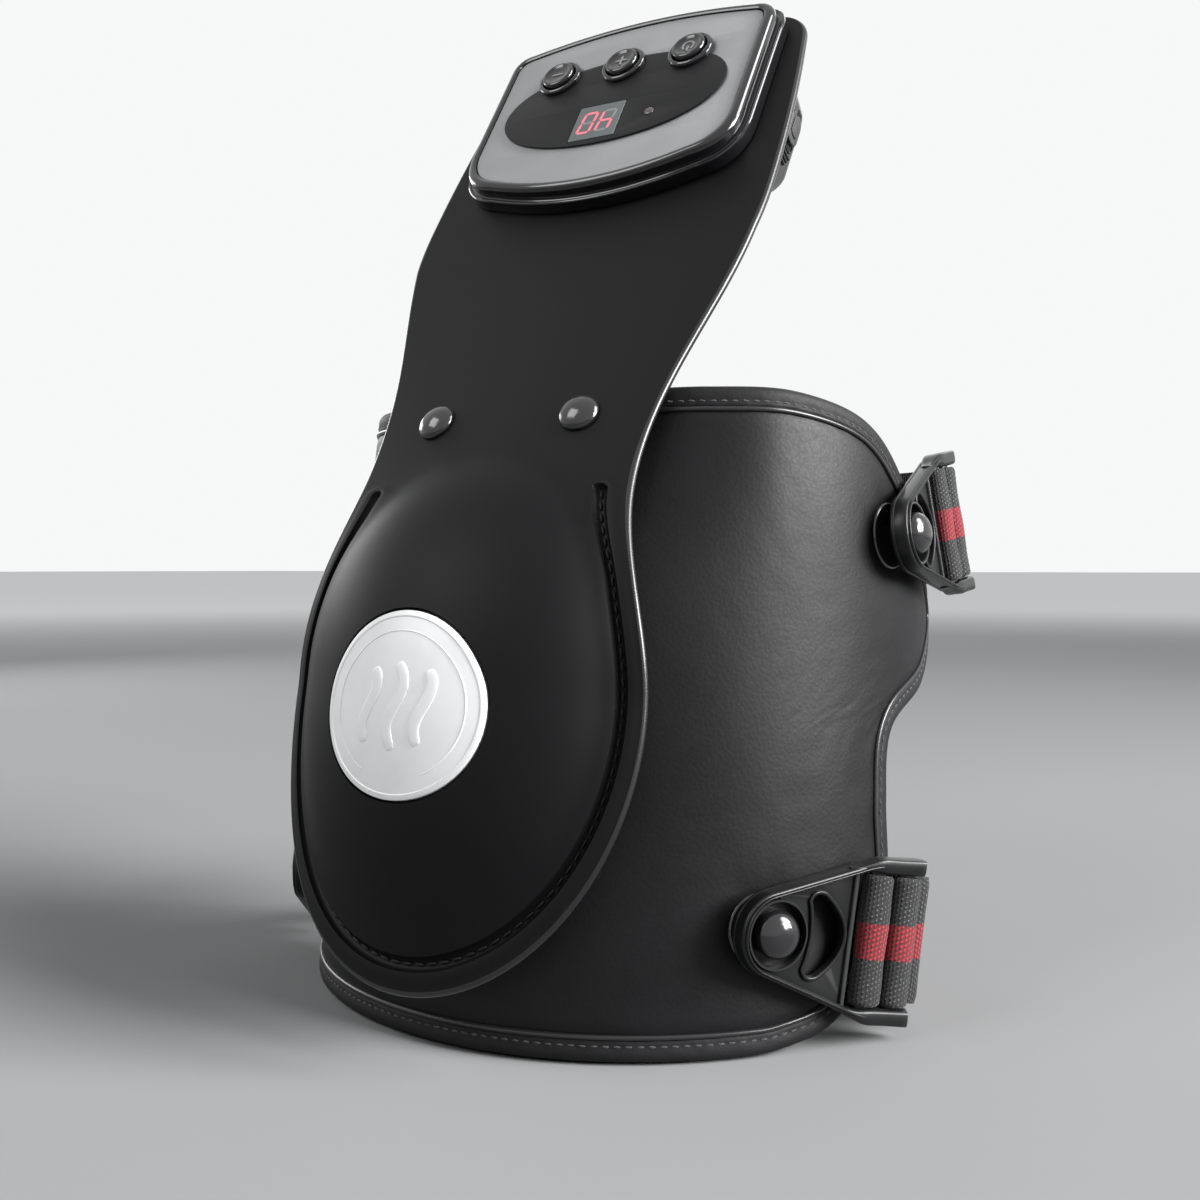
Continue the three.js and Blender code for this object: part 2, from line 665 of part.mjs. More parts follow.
// Waist rivets: a domed head in front, the shank through tongue and wrap, a washer inside
rivetSites.forEach(({ side, u }) => {
  const seat = tonguePoint(RIVET_AT, u, 0);
  const out = tonguePoint(RIVET_AT, u, 1).sub(seat);
  const beyond = (p) => p.y - wrapPoint(p.x, p.z, liningDepth + LINING_THICKNESS).y;
  const rim = [0, 1, 2, 3, 4, 5, 6, 7].map((k) => [
    RIVET_HEAD_RADIUS * Math.cos((k * Math.PI) / 4), RIVET_HEAD_RADIUS * Math.sin((k * Math.PI) / 4),
  ]);
  const buried = (depth) => rim.some(([a, b]) =>
    beyond(tonguePoint(RIVET_AT + b, u + a, 0).addScaledVector(out, -depth)) < 0);
  let inside = 0;
  while (inside < rivetReach && buried(inside)) inside += 0.25;
  const end = -inside - 4 * SEAT_GAP;
  const head = turned([
    [0, end - 1.6], [RIVET_SHANK_RADIUS, end - 1.6], [RIVET_SHANK_RADIUS, SEAT_GAP],
    [RIVET_HEAD_RADIUS, SEAT_GAP], [RIVET_HEAD_RADIUS, 1.2], [RIVET_HEAD_RADIUS * 0.86, 2.6],
    [RIVET_HEAD_RADIUS * 0.55, 3.7], [0, 4.2],
  ], 14);
  const washer = turned([
    [RIVET_SHANK_RADIUS + SEAT_GAP, end - 1.2], [RIVET_HEAD_RADIUS, end - 1.2],
    [RIVET_HEAD_RADIUS, end], [RIVET_SHANK_RADIUS + SEAT_GAP, end],
    [RIVET_SHANK_RADIUS + SEAT_GAP, end - 1.2],
  ], 16);
  add(
    node(`waist_rivet_${side}`, onTongue(head, RIVET_AT, u), satinBlack),
    node(`rivet_washer_${side}`, onTongue(washer, RIVET_AT, u), steel),
  );
});

// Massage module: a tapered tray between dome shell and wrap, two motors and their carrier
const trayCentre = DOME_WIDEST_AT + 2;
const trayTurns = 28;
function trayRing(share, place) {
  const ring = [];
  for (let k = 0; k < trayTurns; k += 1) {
    const a = (2 * Math.PI * k) / trayTurns;
    ring.push(place(
      trayCentre + TRAY_HALF_LENGTH * share * Math.sin(a),
      TRAY_HALF_WIDTH * share * Math.cos(a),
    ));
  }
  return ring;
}
const onShellBack = (s, u) => tonguePoint(s, u, -TONGUE_THICKNESS - SEAT_GAP);
const onWrapFront = (lift) => (s, u) => {
  const p = onShellBack(s, u);
  return wrapPoint(WRAP_RADIUS * Math.asin(p.x / WRAP_RADIUS), p.z, -lift);
};
const floorLow = SEAT_GAP + 0.3;
const floorHigh = floorLow + TRAY_WALL;
const innerShare = 1 - TRAY_WALL / TRAY_HALF_WIDTH;
const tray = loopSolid([
  trayRing(0.3, onWrapFront(floorLow)), trayRing(0.62, onWrapFront(floorLow)),
  trayRing(TRAY_DRAFT, onWrapFront(floorLow)), trayRing(1, onShellBack),
  trayRing(innerShare, onShellBack), trayRing(TRAY_DRAFT * innerShare, onWrapFront(floorHigh)),
  trayRing(0.55, onWrapFront(floorHigh)), trayRing(0.28, onWrapFront(floorHigh)),
]);
add(node('module_tray', tray, satinBlack));

const trayFloor = onWrapFront(floorHigh)(trayCentre, 0);
const trayDepth = onShellBack(trayCentre, 0).distanceTo(trayFloor);
const motorBase = -TONGUE_THICKNESS - SEAT_GAP - trayDepth + MOTOR_FOOT;
const onTray = (geometry, y, h) => onTongue(placed(geometry, 0, y), trayCentre, 0, h);
const motorSites = [['upper', 1], ['lower', -1]].map(([level, sign]) => ({
  level,
  y: (sign * MOTOR_SPACING) / 2,
}));
motorSites.forEach(({ level, y }) => {
  const can = turned([
    [0, 0], [MOTOR_RADIUS, 0], [MOTOR_RADIUS, MOTOR_HEIGHT - 1.5],
    [MOTOR_RADIUS - 1.5, MOTOR_HEIGHT], [3, MOTOR_HEIGHT], [3, MOTOR_HEIGHT + 1],
    [1, MOTOR_HEIGHT + 1], [1, MOTOR_HEIGHT + 4], [0, MOTOR_HEIGHT + 4],
  ], 16);
  const half = new THREE.Shape();
  half.moveTo(-9, 0);
  half.absarc(0, 0, 9, Math.PI, 2 * Math.PI, false);
  half.lineTo(-9, 0);
  const wing = toSolid(prism(half, MOTOR_HEIGHT + 1.4, MOTOR_HEIGHT + 4.4, 0, 8));
  const hub = toSolid(rod(2.6, MOTOR_HEIGHT + 1.4, MOTOR_HEIGHT + 4.4, 14));
  const weight = wing.add(hub).subtract(toSolid(rod(1 + SEAT_GAP / 2, MOTOR_HEIGHT, 30, 10)));
  add(
    node(`vibration_motor_${level}`, onTray(can, y, motorBase), steel),
    node(`eccentric_weight_${level}`, onTray(toGeometry(weight), y, motorBase), steel),
  );
});
const carrierShape = new THREE.Shape();
const carrierHalf = MOTOR_RADIUS + 7;
carrierShape.absarc(0, MOTOR_SPACING / 2, carrierHalf, 0, Math.PI, false);
carrierShape.absarc(0, -MOTOR_SPACING / 2, carrierHalf, Math.PI, 2 * Math.PI, false);
carrierShape.holes = [1, -1].map((sign) =>
  circle(MOTOR_RADIUS + SEAT_GAP, 0, (sign * MOTOR_SPACING) / 2));
const carrierAt = motorBase + 5;
const carrier = prism(carrierShape, 0, CARRIER_THICKNESS, 0, 8);
add(node('motor_carrier', onTray(carrier, 0, carrierAt), satinBlack));

// Control housing. Its group stands on the flap: x across, y up the flap, z out of it
const panel = new THREE.Group();
const panelSeat = tongueAt(PANEL_AT);
panel.position.set(0, panelSeat.y, panelSeat.z);
panel.rotation.x = Math.PI / 2 - panelSeat.lean;
model.add(panel);

function panelShape(grow) {
  const w = PLATE_HALF_WIDTH + grow;
  const top = PLATE_HALF_HEIGHT + grow;
  const bottom = -PLATE_HALF_HEIGHT - grow;
  const r = PLATE_CORNER + Math.max(grow, 0);
  const low = PLATE_LOWER_CORNER + Math.max(grow, 0);
  const sink = PLATE_BOW_BOTTOM * 0.3;
  const shape = new THREE.Shape();
  shape.moveTo(-w + low, bottom - sink);
  shape.quadraticCurveTo(0, bottom - 2 * PLATE_BOW_BOTTOM + sink, w - low, bottom - sink);
  shape.quadraticCurveTo(w - 1, bottom, w, bottom + low);
  shape.lineTo(w, top - r);
  shape.quadraticCurveTo(w, top, w - r, top + 0.6);
  shape.quadraticCurveTo(0, top + 2 * PLATE_BOW_TOP, -w + r, top + 0.6);
  shape.quadraticCurveTo(-w, top, -w, top - r);
  shape.lineTo(-w, bottom + low);
  shape.quadraticCurveTo(-w + 1, bottom, -w + low, bottom - sink);
  return shape;
}

const housingLow = SEAT_GAP;
const recessFloor = HOUSING_HEIGHT - PLATE_THICKNESS;
const ceiling = recessFloor - HOUSING_WALL;
const buttonSites = [['minus', -1], ['plus', 0], ['power', 1]].map(([name, k]) => ({
  name,
  x: k * BUTTON_PITCH,
}));
const buttonHole = BUTTON_RADIUS + SLIDE_GAP;
const panelCuts = (low, high, grow) => [
  ...buttonSites.map(({ x }) => placed(rod(buttonHole, low, high, 16), x, BUTTON_ROW)),
  placed(block(DISPLAY_WIDTH + grow, DISPLAY_HEIGHT + grow, low, high), DISPLAY_OFFSET, DISPLAY_ROW),
  placed(rod(LED_RADIUS + grow / 2, low, high, 12), LED_OFFSET, DISPLAY_ROW),
];
const bossRadius = SCREW_SHANK_RADIUS + 1.6;
const housingBody = cut(
  toSolid(prism(panelShape(HOUSING_MARGIN), housingLow, HOUSING_STEP_HEIGHT, 0.9))
    .add(toSolid(prism(panelShape(HOUSING_MARGIN - HOUSING_STEP), 2, HOUSING_HEIGHT, 0.8))),
  [
    prism(panelShape(SEAT_GAP), recessFloor, HOUSING_HEIGHT + 1),
    prism(panelShape(-HOUSING_WALL), -1, ceiling),
  ],
);
const housingBosses = screwSites.map(([x, y]) =>
  placed(rod(bossRadius, housingLow, ceiling + 0.5, 12), x, y));
const housingBores = screwSites.map(([x, y]) =>
  placed(rod(SCREW_SHANK_RADIUS + 0.1, -1, ceiling - 0.6, 10), x, y));
panel.add(node('control_housing', cut(
  join(housingBody, housingBosses),
  [...housingBores, ...panelCuts(ceiling - 1, HOUSING_HEIGHT + 1, 2 * SEAT_GAP)],
), glossBlack));

const plateLow = recessFloor + SEAT_GAP;
const plateTop = plateLow + PLATE_THICKNESS;
panel.add(node('face_plate', cut(
  toSolid(prism(panelShape(0), plateLow, plateTop, 0.3)),
  panelCuts(plateLow - 1, plateTop + 1, 2 * SEAT_GAP),
), silver));

const overlayLow = plateTop + SEAT_GAP;
const overlayTop = overlayLow + OVERLAY_THICKNESS;
const overlayShape = new THREE.Shape();
const overlayMiddle = -3;
overlayShape.moveTo(-OVERLAY_HALF_WIDTH, overlayMiddle);
overlayShape.bezierCurveTo(-OVERLAY_HALF_WIDTH, -16, -26, -OVERLAY_BOTTOM, 0, -OVERLAY_BOTTOM);
overlayShape.bezierCurveTo(26, -OVERLAY_BOTTOM, OVERLAY_HALF_WIDTH, -16, OVERLAY_HALF_WIDTH, overlayMiddle);
overlayShape.bezierCurveTo(OVERLAY_HALF_WIDTH, 9, 30, OVERLAY_TOP, 0, OVERLAY_TOP);
overlayShape.bezierCurveTo(-30, OVERLAY_TOP, -OVERLAY_HALF_WIDTH, 9, -OVERLAY_HALF_WIDTH, overlayMiddle);
const collars = buttonSites.map(({ x }) => placed(turned([
  [buttonHole, overlayLow], [buttonHole + COLLAR_WALL, overlayLow],
  [buttonHole + COLLAR_WALL, overlayTop + COLLAR_HEIGHT - 0.7],
  [buttonHole + COLLAR_WALL - 0.6, overlayTop + COLLAR_HEIGHT],
  [buttonHole, overlayTop + COLLAR_HEIGHT], [buttonHole, overlayLow],
], 16), x, BUTTON_ROW));
panel.add(node('panel_overlay', cut(
  join(toSolid(prism(overlayShape, overlayLow, overlayTop, 0, 6)), collars),
  panelCuts(overlayLow - 1, overlayTop + COLLAR_HEIGHT + 2, 2 * SEAT_GAP),
), overlayBlack));

// Circuit board with display, indicator and three key switches
const boardLow = 1.6;
const boardTop = boardLow + BOARD_THICKNESS;
const boardShape = new THREE.Shape();
const boardHalf = [SCREW_ACROSS / 2 - bossRadius - SEAT_GAP, PLATE_HALF_HEIGHT - HOUSING_WALL - 1];
boardShape.moveTo(-boardHalf[0], -boardHalf[1]);
boardShape.lineTo(boardHalf[0], -boardHalf[1]);
boardShape.lineTo(boardHalf[0], boardHalf[1]);
boardShape.lineTo(-boardHalf[0], boardHalf[1]);
panel.add(node('circuit_board', prism(boardShape, boardLow, boardTop), boardGreen));
const lens = overlayTop + 0.1;
panel.add(node('display_window', placed(
  block(DISPLAY_WIDTH, DISPLAY_HEIGHT, boardTop + SEAT_GAP, lens),
  DISPLAY_OFFSET, DISPLAY_ROW,
), displayGlass));
panel.add(node('indicator_led', placed(turned([
  [0, boardTop + SEAT_GAP], [LED_RADIUS, boardTop + SEAT_GAP], [LED_RADIUS, lens - 0.3],
  [LED_RADIUS * 0.7, lens + 0.2], [0, lens + 0.4],
], 12), LED_OFFSET, DISPLAY_ROW), ledRed));

// Keys: a dished cap that slides in its collar, a flange that keeps it in, a switch below
const flangeTop = ceiling - SEAT_GAP;
const flangeLow = flangeTop - 0.6;
const keyTop = overlayTop + BUTTON_RISE;
buttonSites.forEach(({ name, x }) => {
  const key = turned([
    [0, flangeLow], [buttonHole + 0.8, flangeLow], [buttonHole + 0.8, flangeTop],
    [BUTTON_RADIUS, flangeTop], [BUTTON_RADIUS, keyTop - 0.7], [BUTTON_RADIUS - 0.6, keyTop],
    [BUTTON_RADIUS - 1.3, keyTop - 0.1], [BUTTON_RADIUS * 0.45, keyTop - 0.6], [0, keyTop - 0.75],
  ], 16);
  const switchTop = flangeLow - BUTTON_TRAVEL - SEAT_GAP;
  const body = toSolid(block(6, 6, boardTop + SEAT_GAP, switchTop - 0.4));
  const plunger = toSolid(rod(1.6, switchTop - 0.8, switchTop, 10));
  panel.add(
    node(`button_${name}`, placed(key, x, BUTTON_ROW), glossBlack),
    node(`key_switch_${name}`, placed(toGeometry(body.add(plunger)), x, BUTTON_ROW), steel),
  );
});

// Battery housing behind the flap, clamped to the control housing by four screws
const backFace = -TONGUE_THICKNESS - SEAT_GAP;
const batteryFloor = backFace - BATTERY_DEPTH;
function batteryLoop(grow, depth, draft, raise) {
  const w = BATTERY_HALF_WIDTH + grow - draft;
  const low = BATTERY_ROW - BATTERY_HALF_HEIGHT - grow + raise;
  const high = BATTERY_ROW + BATTERY_HALF_HEIGHT + grow - draft;
  const r = 9;
  const loop = [];
  [[w - r, low + r, -90], [w - r, high - r, 0], [r - w, high - r, 90], [r - w, low + r, 180]]
    .forEach(([x, y, from]) => [0, 30, 60, 90].forEach((turn) => {
      const a = deg(from + turn);
      loop.push(v3(x + r * Math.cos(a), y + r * Math.sin(a), depth));
    }));
  return loop;
}
const portAt = { y: BATTERY_ROW + 8, z: backFace - 8 };
const headSink = 1.9;
const screwFace = batteryFloor;
const batteryBox = toSolid(loopSolid([
  batteryLoop(0, backFace, 0, 0), batteryLoop(0, backFace - 4, 0, 0),
  batteryLoop(0, batteryFloor + 2, 0.8, BATTERY_SLOPE - 2),
  batteryLoop(0, batteryFloor, 2.8, BATTERY_SLOPE + 1.5),
]));
const batteryCavity = loopSolid([
  batteryLoop(-BATTERY_WALL, backFace + 1, 0, 0), batteryLoop(-BATTERY_WALL, backFace - 3, 0, 0),
  batteryLoop(-BATTERY_WALL, batteryFloor + BATTERY_WALL, 1, BATTERY_SLOPE - 1),
]);
const batteryPosts = screwSites.map(([x, y]) =>
  placed(rod(SCREW_HEAD_RADIUS + 1.4, screwFace + 0.5, backFace, 14), x, y));
const batteryBores = screwSites.flatMap(([x, y]) => [
  placed(rod(SCREW_SHANK_RADIUS + SEAT_GAP, screwFace - 1, backFace + 1, 10), x, y),
  placed(rod(SCREW_HEAD_RADIUS + SEAT_GAP, screwFace - 1, screwFace + headSink, 14), x, y),
]);
const portHole = new THREE.BoxGeometry(BATTERY_WALL * 3, PORT_WIDTH - 4, PORT_HEIGHT - 3.4)
  .translate(BATTERY_HALF_WIDTH, portAt.y, portAt.z);
const batteryShell = join(batteryBox.subtract(toSolid(batteryCavity)), batteryPosts);
panel.add(node('battery_housing', cut(batteryShell, [...batteryBores, portHole]), satinBlack));

screwSites.forEach(([x, y], k) => {
  const seat = screwFace + headSink - SEAT_GAP;
  const screw = turned([
    [0, seat - 1.5], [SCREW_HEAD_RADIUS * 0.8, seat - 1.5], [SCREW_HEAD_RADIUS, seat - 1],
    [SCREW_HEAD_RADIUS, seat], [SCREW_SHANK_RADIUS, seat], [SCREW_SHANK_RADIUS, 4], [0, 4.8],
  ], 10);
  panel.add(node(`housing_screw_${k + 1}`, placed(screw, x, y), steel));
});

// Battery pack: two cells side by side in one wrap, on the housing floor
const cellLow = batteryFloor + BATTERY_WALL + SEAT_GAP;
const packShape = new THREE.Shape();
packShape.absarc(0, CELL_RADIUS, CELL_RADIUS, 0, Math.PI, false);
packShape.absarc(0, -CELL_RADIUS, CELL_RADIUS, Math.PI, 2 * Math.PI, false);
const pack = prism(packShape, -CELL_LENGTH / 2, CELL_LENGTH / 2, 0.6, 8);
pack.rotateY(Math.PI / 2).translate(-4, BATTERY_ROW + 7, cellLow + CELL_RADIUS);
panel.add(node('battery_pack', pack, cellBlue));

const socketShape = block(PORT_WIDTH - 5, PORT_HEIGHT - 4.4, 0, 9);
const socketBore = block(PORT_WIDTH - 7, PORT_HEIGHT - 6, 2, 10);
const socket = toGeometry(toSolid(socketShape).subtract(toSolid(socketBore)));
socket.rotateZ(Math.PI / 2).rotateY(Math.PI / 2);
panel.add(node('charge_socket', placed(
  socket, BATTERY_HALF_WIDTH - 9 - SEAT_GAP, portAt.y, portAt.z,
), steel));

const coverShape = new THREE.Shape();
coverShape.moveTo(-PORT_WIDTH / 2, 0);
coverShape.quadraticCurveTo(-PORT_WIDTH / 2, PORT_HEIGHT / 2, -PORT_WIDTH / 5, PORT_HEIGHT / 2);
coverShape.lineTo(PORT_WIDTH / 5, PORT_HEIGHT / 2);
coverShape.quadraticCurveTo(PORT_WIDTH / 2, PORT_HEIGHT / 2, PORT_WIDTH / 2 + 2.6, 0);
coverShape.quadraticCurveTo(PORT_WIDTH / 2, -PORT_HEIGHT / 2, PORT_WIDTH / 5, -PORT_HEIGHT / 2);
coverShape.lineTo(-PORT_WIDTH / 5, -PORT_HEIGHT / 2);
coverShape.quadraticCurveTo(-PORT_WIDTH / 2, -PORT_HEIGHT / 2, -PORT_WIDTH / 2, 0);
const cover = prism(coverShape, SEAT_GAP, SEAT_GAP + PORT_COVER_THICKNESS, 0.4, 4);
cover.rotateZ(Math.PI / 2).rotateY(Math.PI / 2);
panel.add(node('port_cover', placed(cover, BATTERY_HALF_WIDTH, portAt.y, portAt.z), satinBlack));

// Stud: a base washer on the leather, a neck and a domed cap that the buckle turns under
function studGeometry() {
  const lift = SEAT_GAP + 0.2;
  const capLow = STUD_STANDOFF - 0.9;
  const behind = -LEATHER_THICKNESS - 3.2 * SEAT_GAP;
  return turned([
    [0, behind - 0.7], [STUD_FLANGE_RADIUS, behind - 0.7], [STUD_FLANGE_RADIUS, behind],
    [STUD_NECK_RADIUS, behind],
    [STUD_NECK_RADIUS, lift], [STUD_BASE_RADIUS, lift], [STUD_BASE_RADIUS - 0.8, lift + 0.9],
    [STUD_NECK_RADIUS, lift + 1.8], [STUD_NECK_RADIUS, capLow], [STUD_CAP_RADIUS, capLow],
    [STUD_CAP_RADIUS, capLow + 1], [STUD_CAP_RADIUS * 0.84, capLow + 3.2],
    [STUD_CAP_RADIUS * 0.48, capLow + 4.7], [0, capLow + 5.2],
  ], 12);
}

// Buckle: a moulded triangular tray, its apex round the stud, two bars for the webbing
function buckleShape(inset) {
  const r = BUCKLE_APEX_RADIUS - inset;
  const w = BUCKLE_HALF_WIDTH - inset;
  const flare = new THREE.Vector2(BUCKLE_FLARE_START, w - 3);
  const lean = Math.acos(r / flare.length()) + flare.angle();
  const shape = new THREE.Shape();
  shape.moveTo(BUCKLE_LENGTH, w);
  shape.quadraticCurveTo(BUCKLE_FLARE_START + 8, w, flare.x, flare.y);
  shape.absarc(0, 0, r, lean, 2 * Math.PI - lean, false);
  shape.lineTo(flare.x, -flare.y);
  shape.quadraticCurveTo(BUCKLE_FLARE_START + 8, -w, BUCKLE_LENGTH, -w);
  return shape;
}

const outerBarAt = BUCKLE_LENGTH - 4.6;
const innerBarAt = outerBarAt - BAR_PITCH;
function barSection(grow) {
  const w = BAR_WIDTH / 2 + grow;
  const h = BAR_HEIGHT / 2 + grow;
  const shape = new THREE.Shape();
  shape.absellipse(0, 0, w, h, 0, 2 * Math.PI, false, 0);
  return shape;
}
function acrossBuckle(shape, half, at, segments = 4) {
  const g = prism(shape, -half, half, 0, segments);
  return g.rotateX(Math.PI / 2).translate(at, 0, 0);
}

function buckleGeometry() {
  const low = -BUCKLE_FLOOR - 0.9;
  const top = low + BUCKLE_HEIGHT;
  const slotFrom = innerBarAt - BAR_WIDTH / 2 - WEBBING_THICKNESS - 1.6;
  const halfSlot = WEBBING_WIDTH / 2 + 0.5;
  const dish = new THREE.Shape();
  dish.moveTo(9.6, 9.4);
  dish.lineTo(slotFrom - 1.8, 15.2);
  dish.lineTo(slotFrom - 1.8, -15.2);
  dish.lineTo(9.6, -9.4);
  const finger = new THREE.Shape();
  finger.moveTo(12.6, 9.8);
  finger.quadraticCurveTo(14.6, 12.6, 17.2, 11.2);
  finger.quadraticCurveTo(24.6, 6, 24.6, 0);
  finger.quadraticCurveTo(24.6, -6, 17.2, -11.2);
  finger.quadraticCurveTo(14.6, -12.6, 12.6, -9.8);
  const body = toSolid(prism(buckleShape(0), low, top, 0.7));
  const slot = new THREE.BoxGeometry(BUCKLE_LENGTH, 2 * halfSlot, 20)
    .translate(slotFrom + BUCKLE_LENGTH / 2, 0, 0);
  const socket = rod(STUD_NECK_RADIUS + 1.2, -12, 12, 16);
  const capRoom = turned([
    [0, low + BUCKLE_FLOOR], [STUD_CAP_RADIUS + 1.1, low + BUCKLE_FLOOR],
    [STUD_CAP_RADIUS + 2.4, top + 1], [0, top + 1],
  ], 20);
  const tools = [
    slot, socket, capRoom,
    prism(dish, low + BUCKLE_FLOOR, top + 1),
    prism(finger, low - 1, top + 1, 0, 4),
  ];
  const bars = [innerBarAt, outerBarAt].map((at) =>
    acrossBuckle(barSection(0), halfSlot + 0.8, at, 5));
  return toGeometry(join(cut(body, tools), bars));
}

// Webbing wound over both bars, one band beside the other
function windingGeometry() {
  const grow = SEAT_GAP + WEBBING_THICKNESS;
  const half = WEBBING_WIDTH / 2;
  const bands = [innerBarAt, outerBarAt].map((at) =>
    toSolid(acrossBuckle(barSection(grow), half, at, 6)));
  const bores = [innerBarAt, outerBarAt].map((at) =>
    acrossBuckle(barSection(SEAT_GAP), half + 1, at, 6));
  const bridge = new THREE.BoxGeometry(BAR_PITCH - BAR_WIDTH, WEBBING_WIDTH, WEBBING_THICKNESS)
    .translate((innerBarAt + outerBarAt) / 2, 0, -0.6);
  return toGeometry(cut(bands[0].add(bands[1]).add(toSolid(bridge)), bores));
}

// A strap runs round the back of the leg as two ribbons, one from each buckle, which lap over
// each other at the middle; lapSide is 1 for the outer ribbon and -1 for the inner one. The
// ribbon is drawn between two shares of the whole way, and hangs down to a height at the back
function strapGeometry(frame, sag, lapSide, hang, from = 0, to = 0.5 + STRAP_LAP) {
  const back = -BAR_HEIGHT / 2 - SEAT_GAP - WEBBING_THICKNESS / 2;
  const local = (a, c) => v3(a, 0, c).applyMatrix4(frame);
  const start = local(outerBarAt + BAR_WIDTH / 2 + WEBBING_THICKNESS + 2 * SEAT_GAP, back);
  const heading = local(1, 0).sub(local(0, 0));
  const rise = v3(0, 1, 0).transformDirection(frame);
  const past = start.clone().addScaledVector(heading, 7).add(v3(-1.5, 0, 0));
  const level = lerp(past.z, start.z, 0.5);
  const half = [
    start,
    past,
    v3(past.x * 0.88, past.y + sag * 0.42, lerp(past.z, hang ?? start.z, hang ? 0.6 : 0.2)),
    v3(past.x * 0.5, past.y + sag * 0.86, hang ?? level),
    v3(0, past.y + sag, hang ?? level),
  ];
  const mirror = half.slice(0, 4).reverse().map((p) => v3(-p.x, p.y, p.z));
  const path = new THREE.CatmullRomCurve3([...half, ...mirror]);
  const steps = Math.ceil((16 * (to - from)) / (0.5 + STRAP_LAP));
  const loops = [];
  for (let k = 0; k <= steps; k += 1) {
    const own = lerp(from, to, k / steps);
    const f = lapSide > 0 ? own : 1 - own;
    const p = path.getPointAt(f);
    const run = path.getTangentAt(f);
    const near = smooth(1 - Math.min(f, 1 - f) * 5);
    const side = v3(f < 0.5 ? rise.x : -rise.x, rise.y, rise.z);
    const up = v3(0, 0, 1).lerp(side, near).addScaledVector(run, 0);
    up.addScaledVector(run, -up.dot(run)).setLength(WEBBING_WIDTH / 2);
    const thin = run.clone().cross(up).setLength(WEBBING_THICKNESS / 2);
    const lapped = smooth((own - 0.5 + 2 * STRAP_LAP) / STRAP_LAP) * lapSide;
    p.addScaledVector(thin, (lapped * (WEBBING_THICKNESS + SEAT_GAP)) / WEBBING_THICKNESS);
    loops.push([[1, 1], [1, -1], [-1, -1], [-1, 1]].map(([a, b]) =>
      p.clone().addScaledVector(up, a).addScaledVector(thin, b)));
  }
  return loopSolid(loops);
}

BUCKLE_SITES.forEach((site) => {
  const { level, reach, height, yaw, pitch, roll, sag, hang } = site;
  let strapFrame = null;
  const tilt = (sign) => new THREE.Matrix4().makeRotationY(deg(yaw))
    .multiply(new THREE.Matrix4().makeRotationX(deg(pitch * sign)))
    .multiply(new THREE.Matrix4().makeRotationZ(deg(roll * sign)));
  SIDES.forEach(({ side, sign }) => {
    const base = wrapBasis(reach, height, sign);
    const frame = base.clone()
      .multiply(new THREE.Matrix4().makeTranslation(0, 0, STUD_STANDOFF - 1.7))
      .multiply(tilt(sign));
    add(
      node(`stud_${side}_${level}`, studGeometry().applyMatrix4(base), satinBlack),
      node(`buckle_${side}_${level}`, buckleGeometry().applyMatrix4(frame), satinBlack),
      node(`winding_${side}_${level}`, windingGeometry().applyMatrix4(frame), webbing),
    );
    const rightFrame = sign > 0 ? frame : strapFrame;
    strapFrame = frame;
    const ribbon = (...span) => strapGeometry(rightFrame, sag, sign, hang, ...span);
    if (hang) {
      add(
        node(`strap_${side}_${level}`, ribbon(0, STRAP_SPLIT - 0.002), webbing),
        node(`strap_rear_${side}_${level}`, ribbon(STRAP_SPLIT, 0.5 + STRAP_LAP), webbing),
      );
    } else {
      add(node(`strap_${side}_${level}`, ribbon(), webbing));
    }
  });
});

// The part stands on its hem, at the middle of its own outline
model.updateMatrixWorld(true);
const outline = new THREE.Box3().setFromObject(model, true);
const middle = outline.getCenter(v3(0, 0, 0));
model.position.set(-middle.x, -middle.y, -outline.min.z);

export default model;
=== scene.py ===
"""Heated leg massager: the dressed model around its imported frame, with studio and camera."""
import json
import logging
import math
from dataclasses import dataclass, field
from enum import Enum
from typing import Callable, Iterable, Sequence

import bmesh
import bpy
import numpy as np
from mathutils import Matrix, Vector

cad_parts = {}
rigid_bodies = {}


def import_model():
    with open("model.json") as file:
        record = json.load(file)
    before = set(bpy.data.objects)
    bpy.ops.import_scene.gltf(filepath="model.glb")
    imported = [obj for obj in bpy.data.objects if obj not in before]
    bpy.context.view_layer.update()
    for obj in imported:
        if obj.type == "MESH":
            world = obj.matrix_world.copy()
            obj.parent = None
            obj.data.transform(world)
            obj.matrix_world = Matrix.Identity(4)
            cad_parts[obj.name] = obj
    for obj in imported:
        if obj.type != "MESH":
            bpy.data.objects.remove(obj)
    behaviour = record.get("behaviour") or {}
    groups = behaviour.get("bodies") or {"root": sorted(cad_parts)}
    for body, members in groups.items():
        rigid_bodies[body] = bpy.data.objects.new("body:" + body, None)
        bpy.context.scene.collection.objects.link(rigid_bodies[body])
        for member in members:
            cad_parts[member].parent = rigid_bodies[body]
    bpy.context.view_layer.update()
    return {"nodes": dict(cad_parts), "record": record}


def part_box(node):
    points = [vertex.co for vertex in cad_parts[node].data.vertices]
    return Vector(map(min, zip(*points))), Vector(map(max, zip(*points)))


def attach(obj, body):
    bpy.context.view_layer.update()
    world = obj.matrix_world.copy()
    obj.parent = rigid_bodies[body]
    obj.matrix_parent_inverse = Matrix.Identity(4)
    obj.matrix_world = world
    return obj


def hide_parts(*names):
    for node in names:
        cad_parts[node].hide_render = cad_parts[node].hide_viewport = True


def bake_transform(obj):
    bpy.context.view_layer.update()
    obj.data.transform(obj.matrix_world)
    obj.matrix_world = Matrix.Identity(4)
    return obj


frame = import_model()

MM = 0.001
Array = np.ndarray
Face = tuple[int, ...]
Pairs = Sequence[Sequence[float]]
Piece = bpy.types.Object
Material = bpy.types.Material
UP = np.array([0.0, 0.0, 1.0])
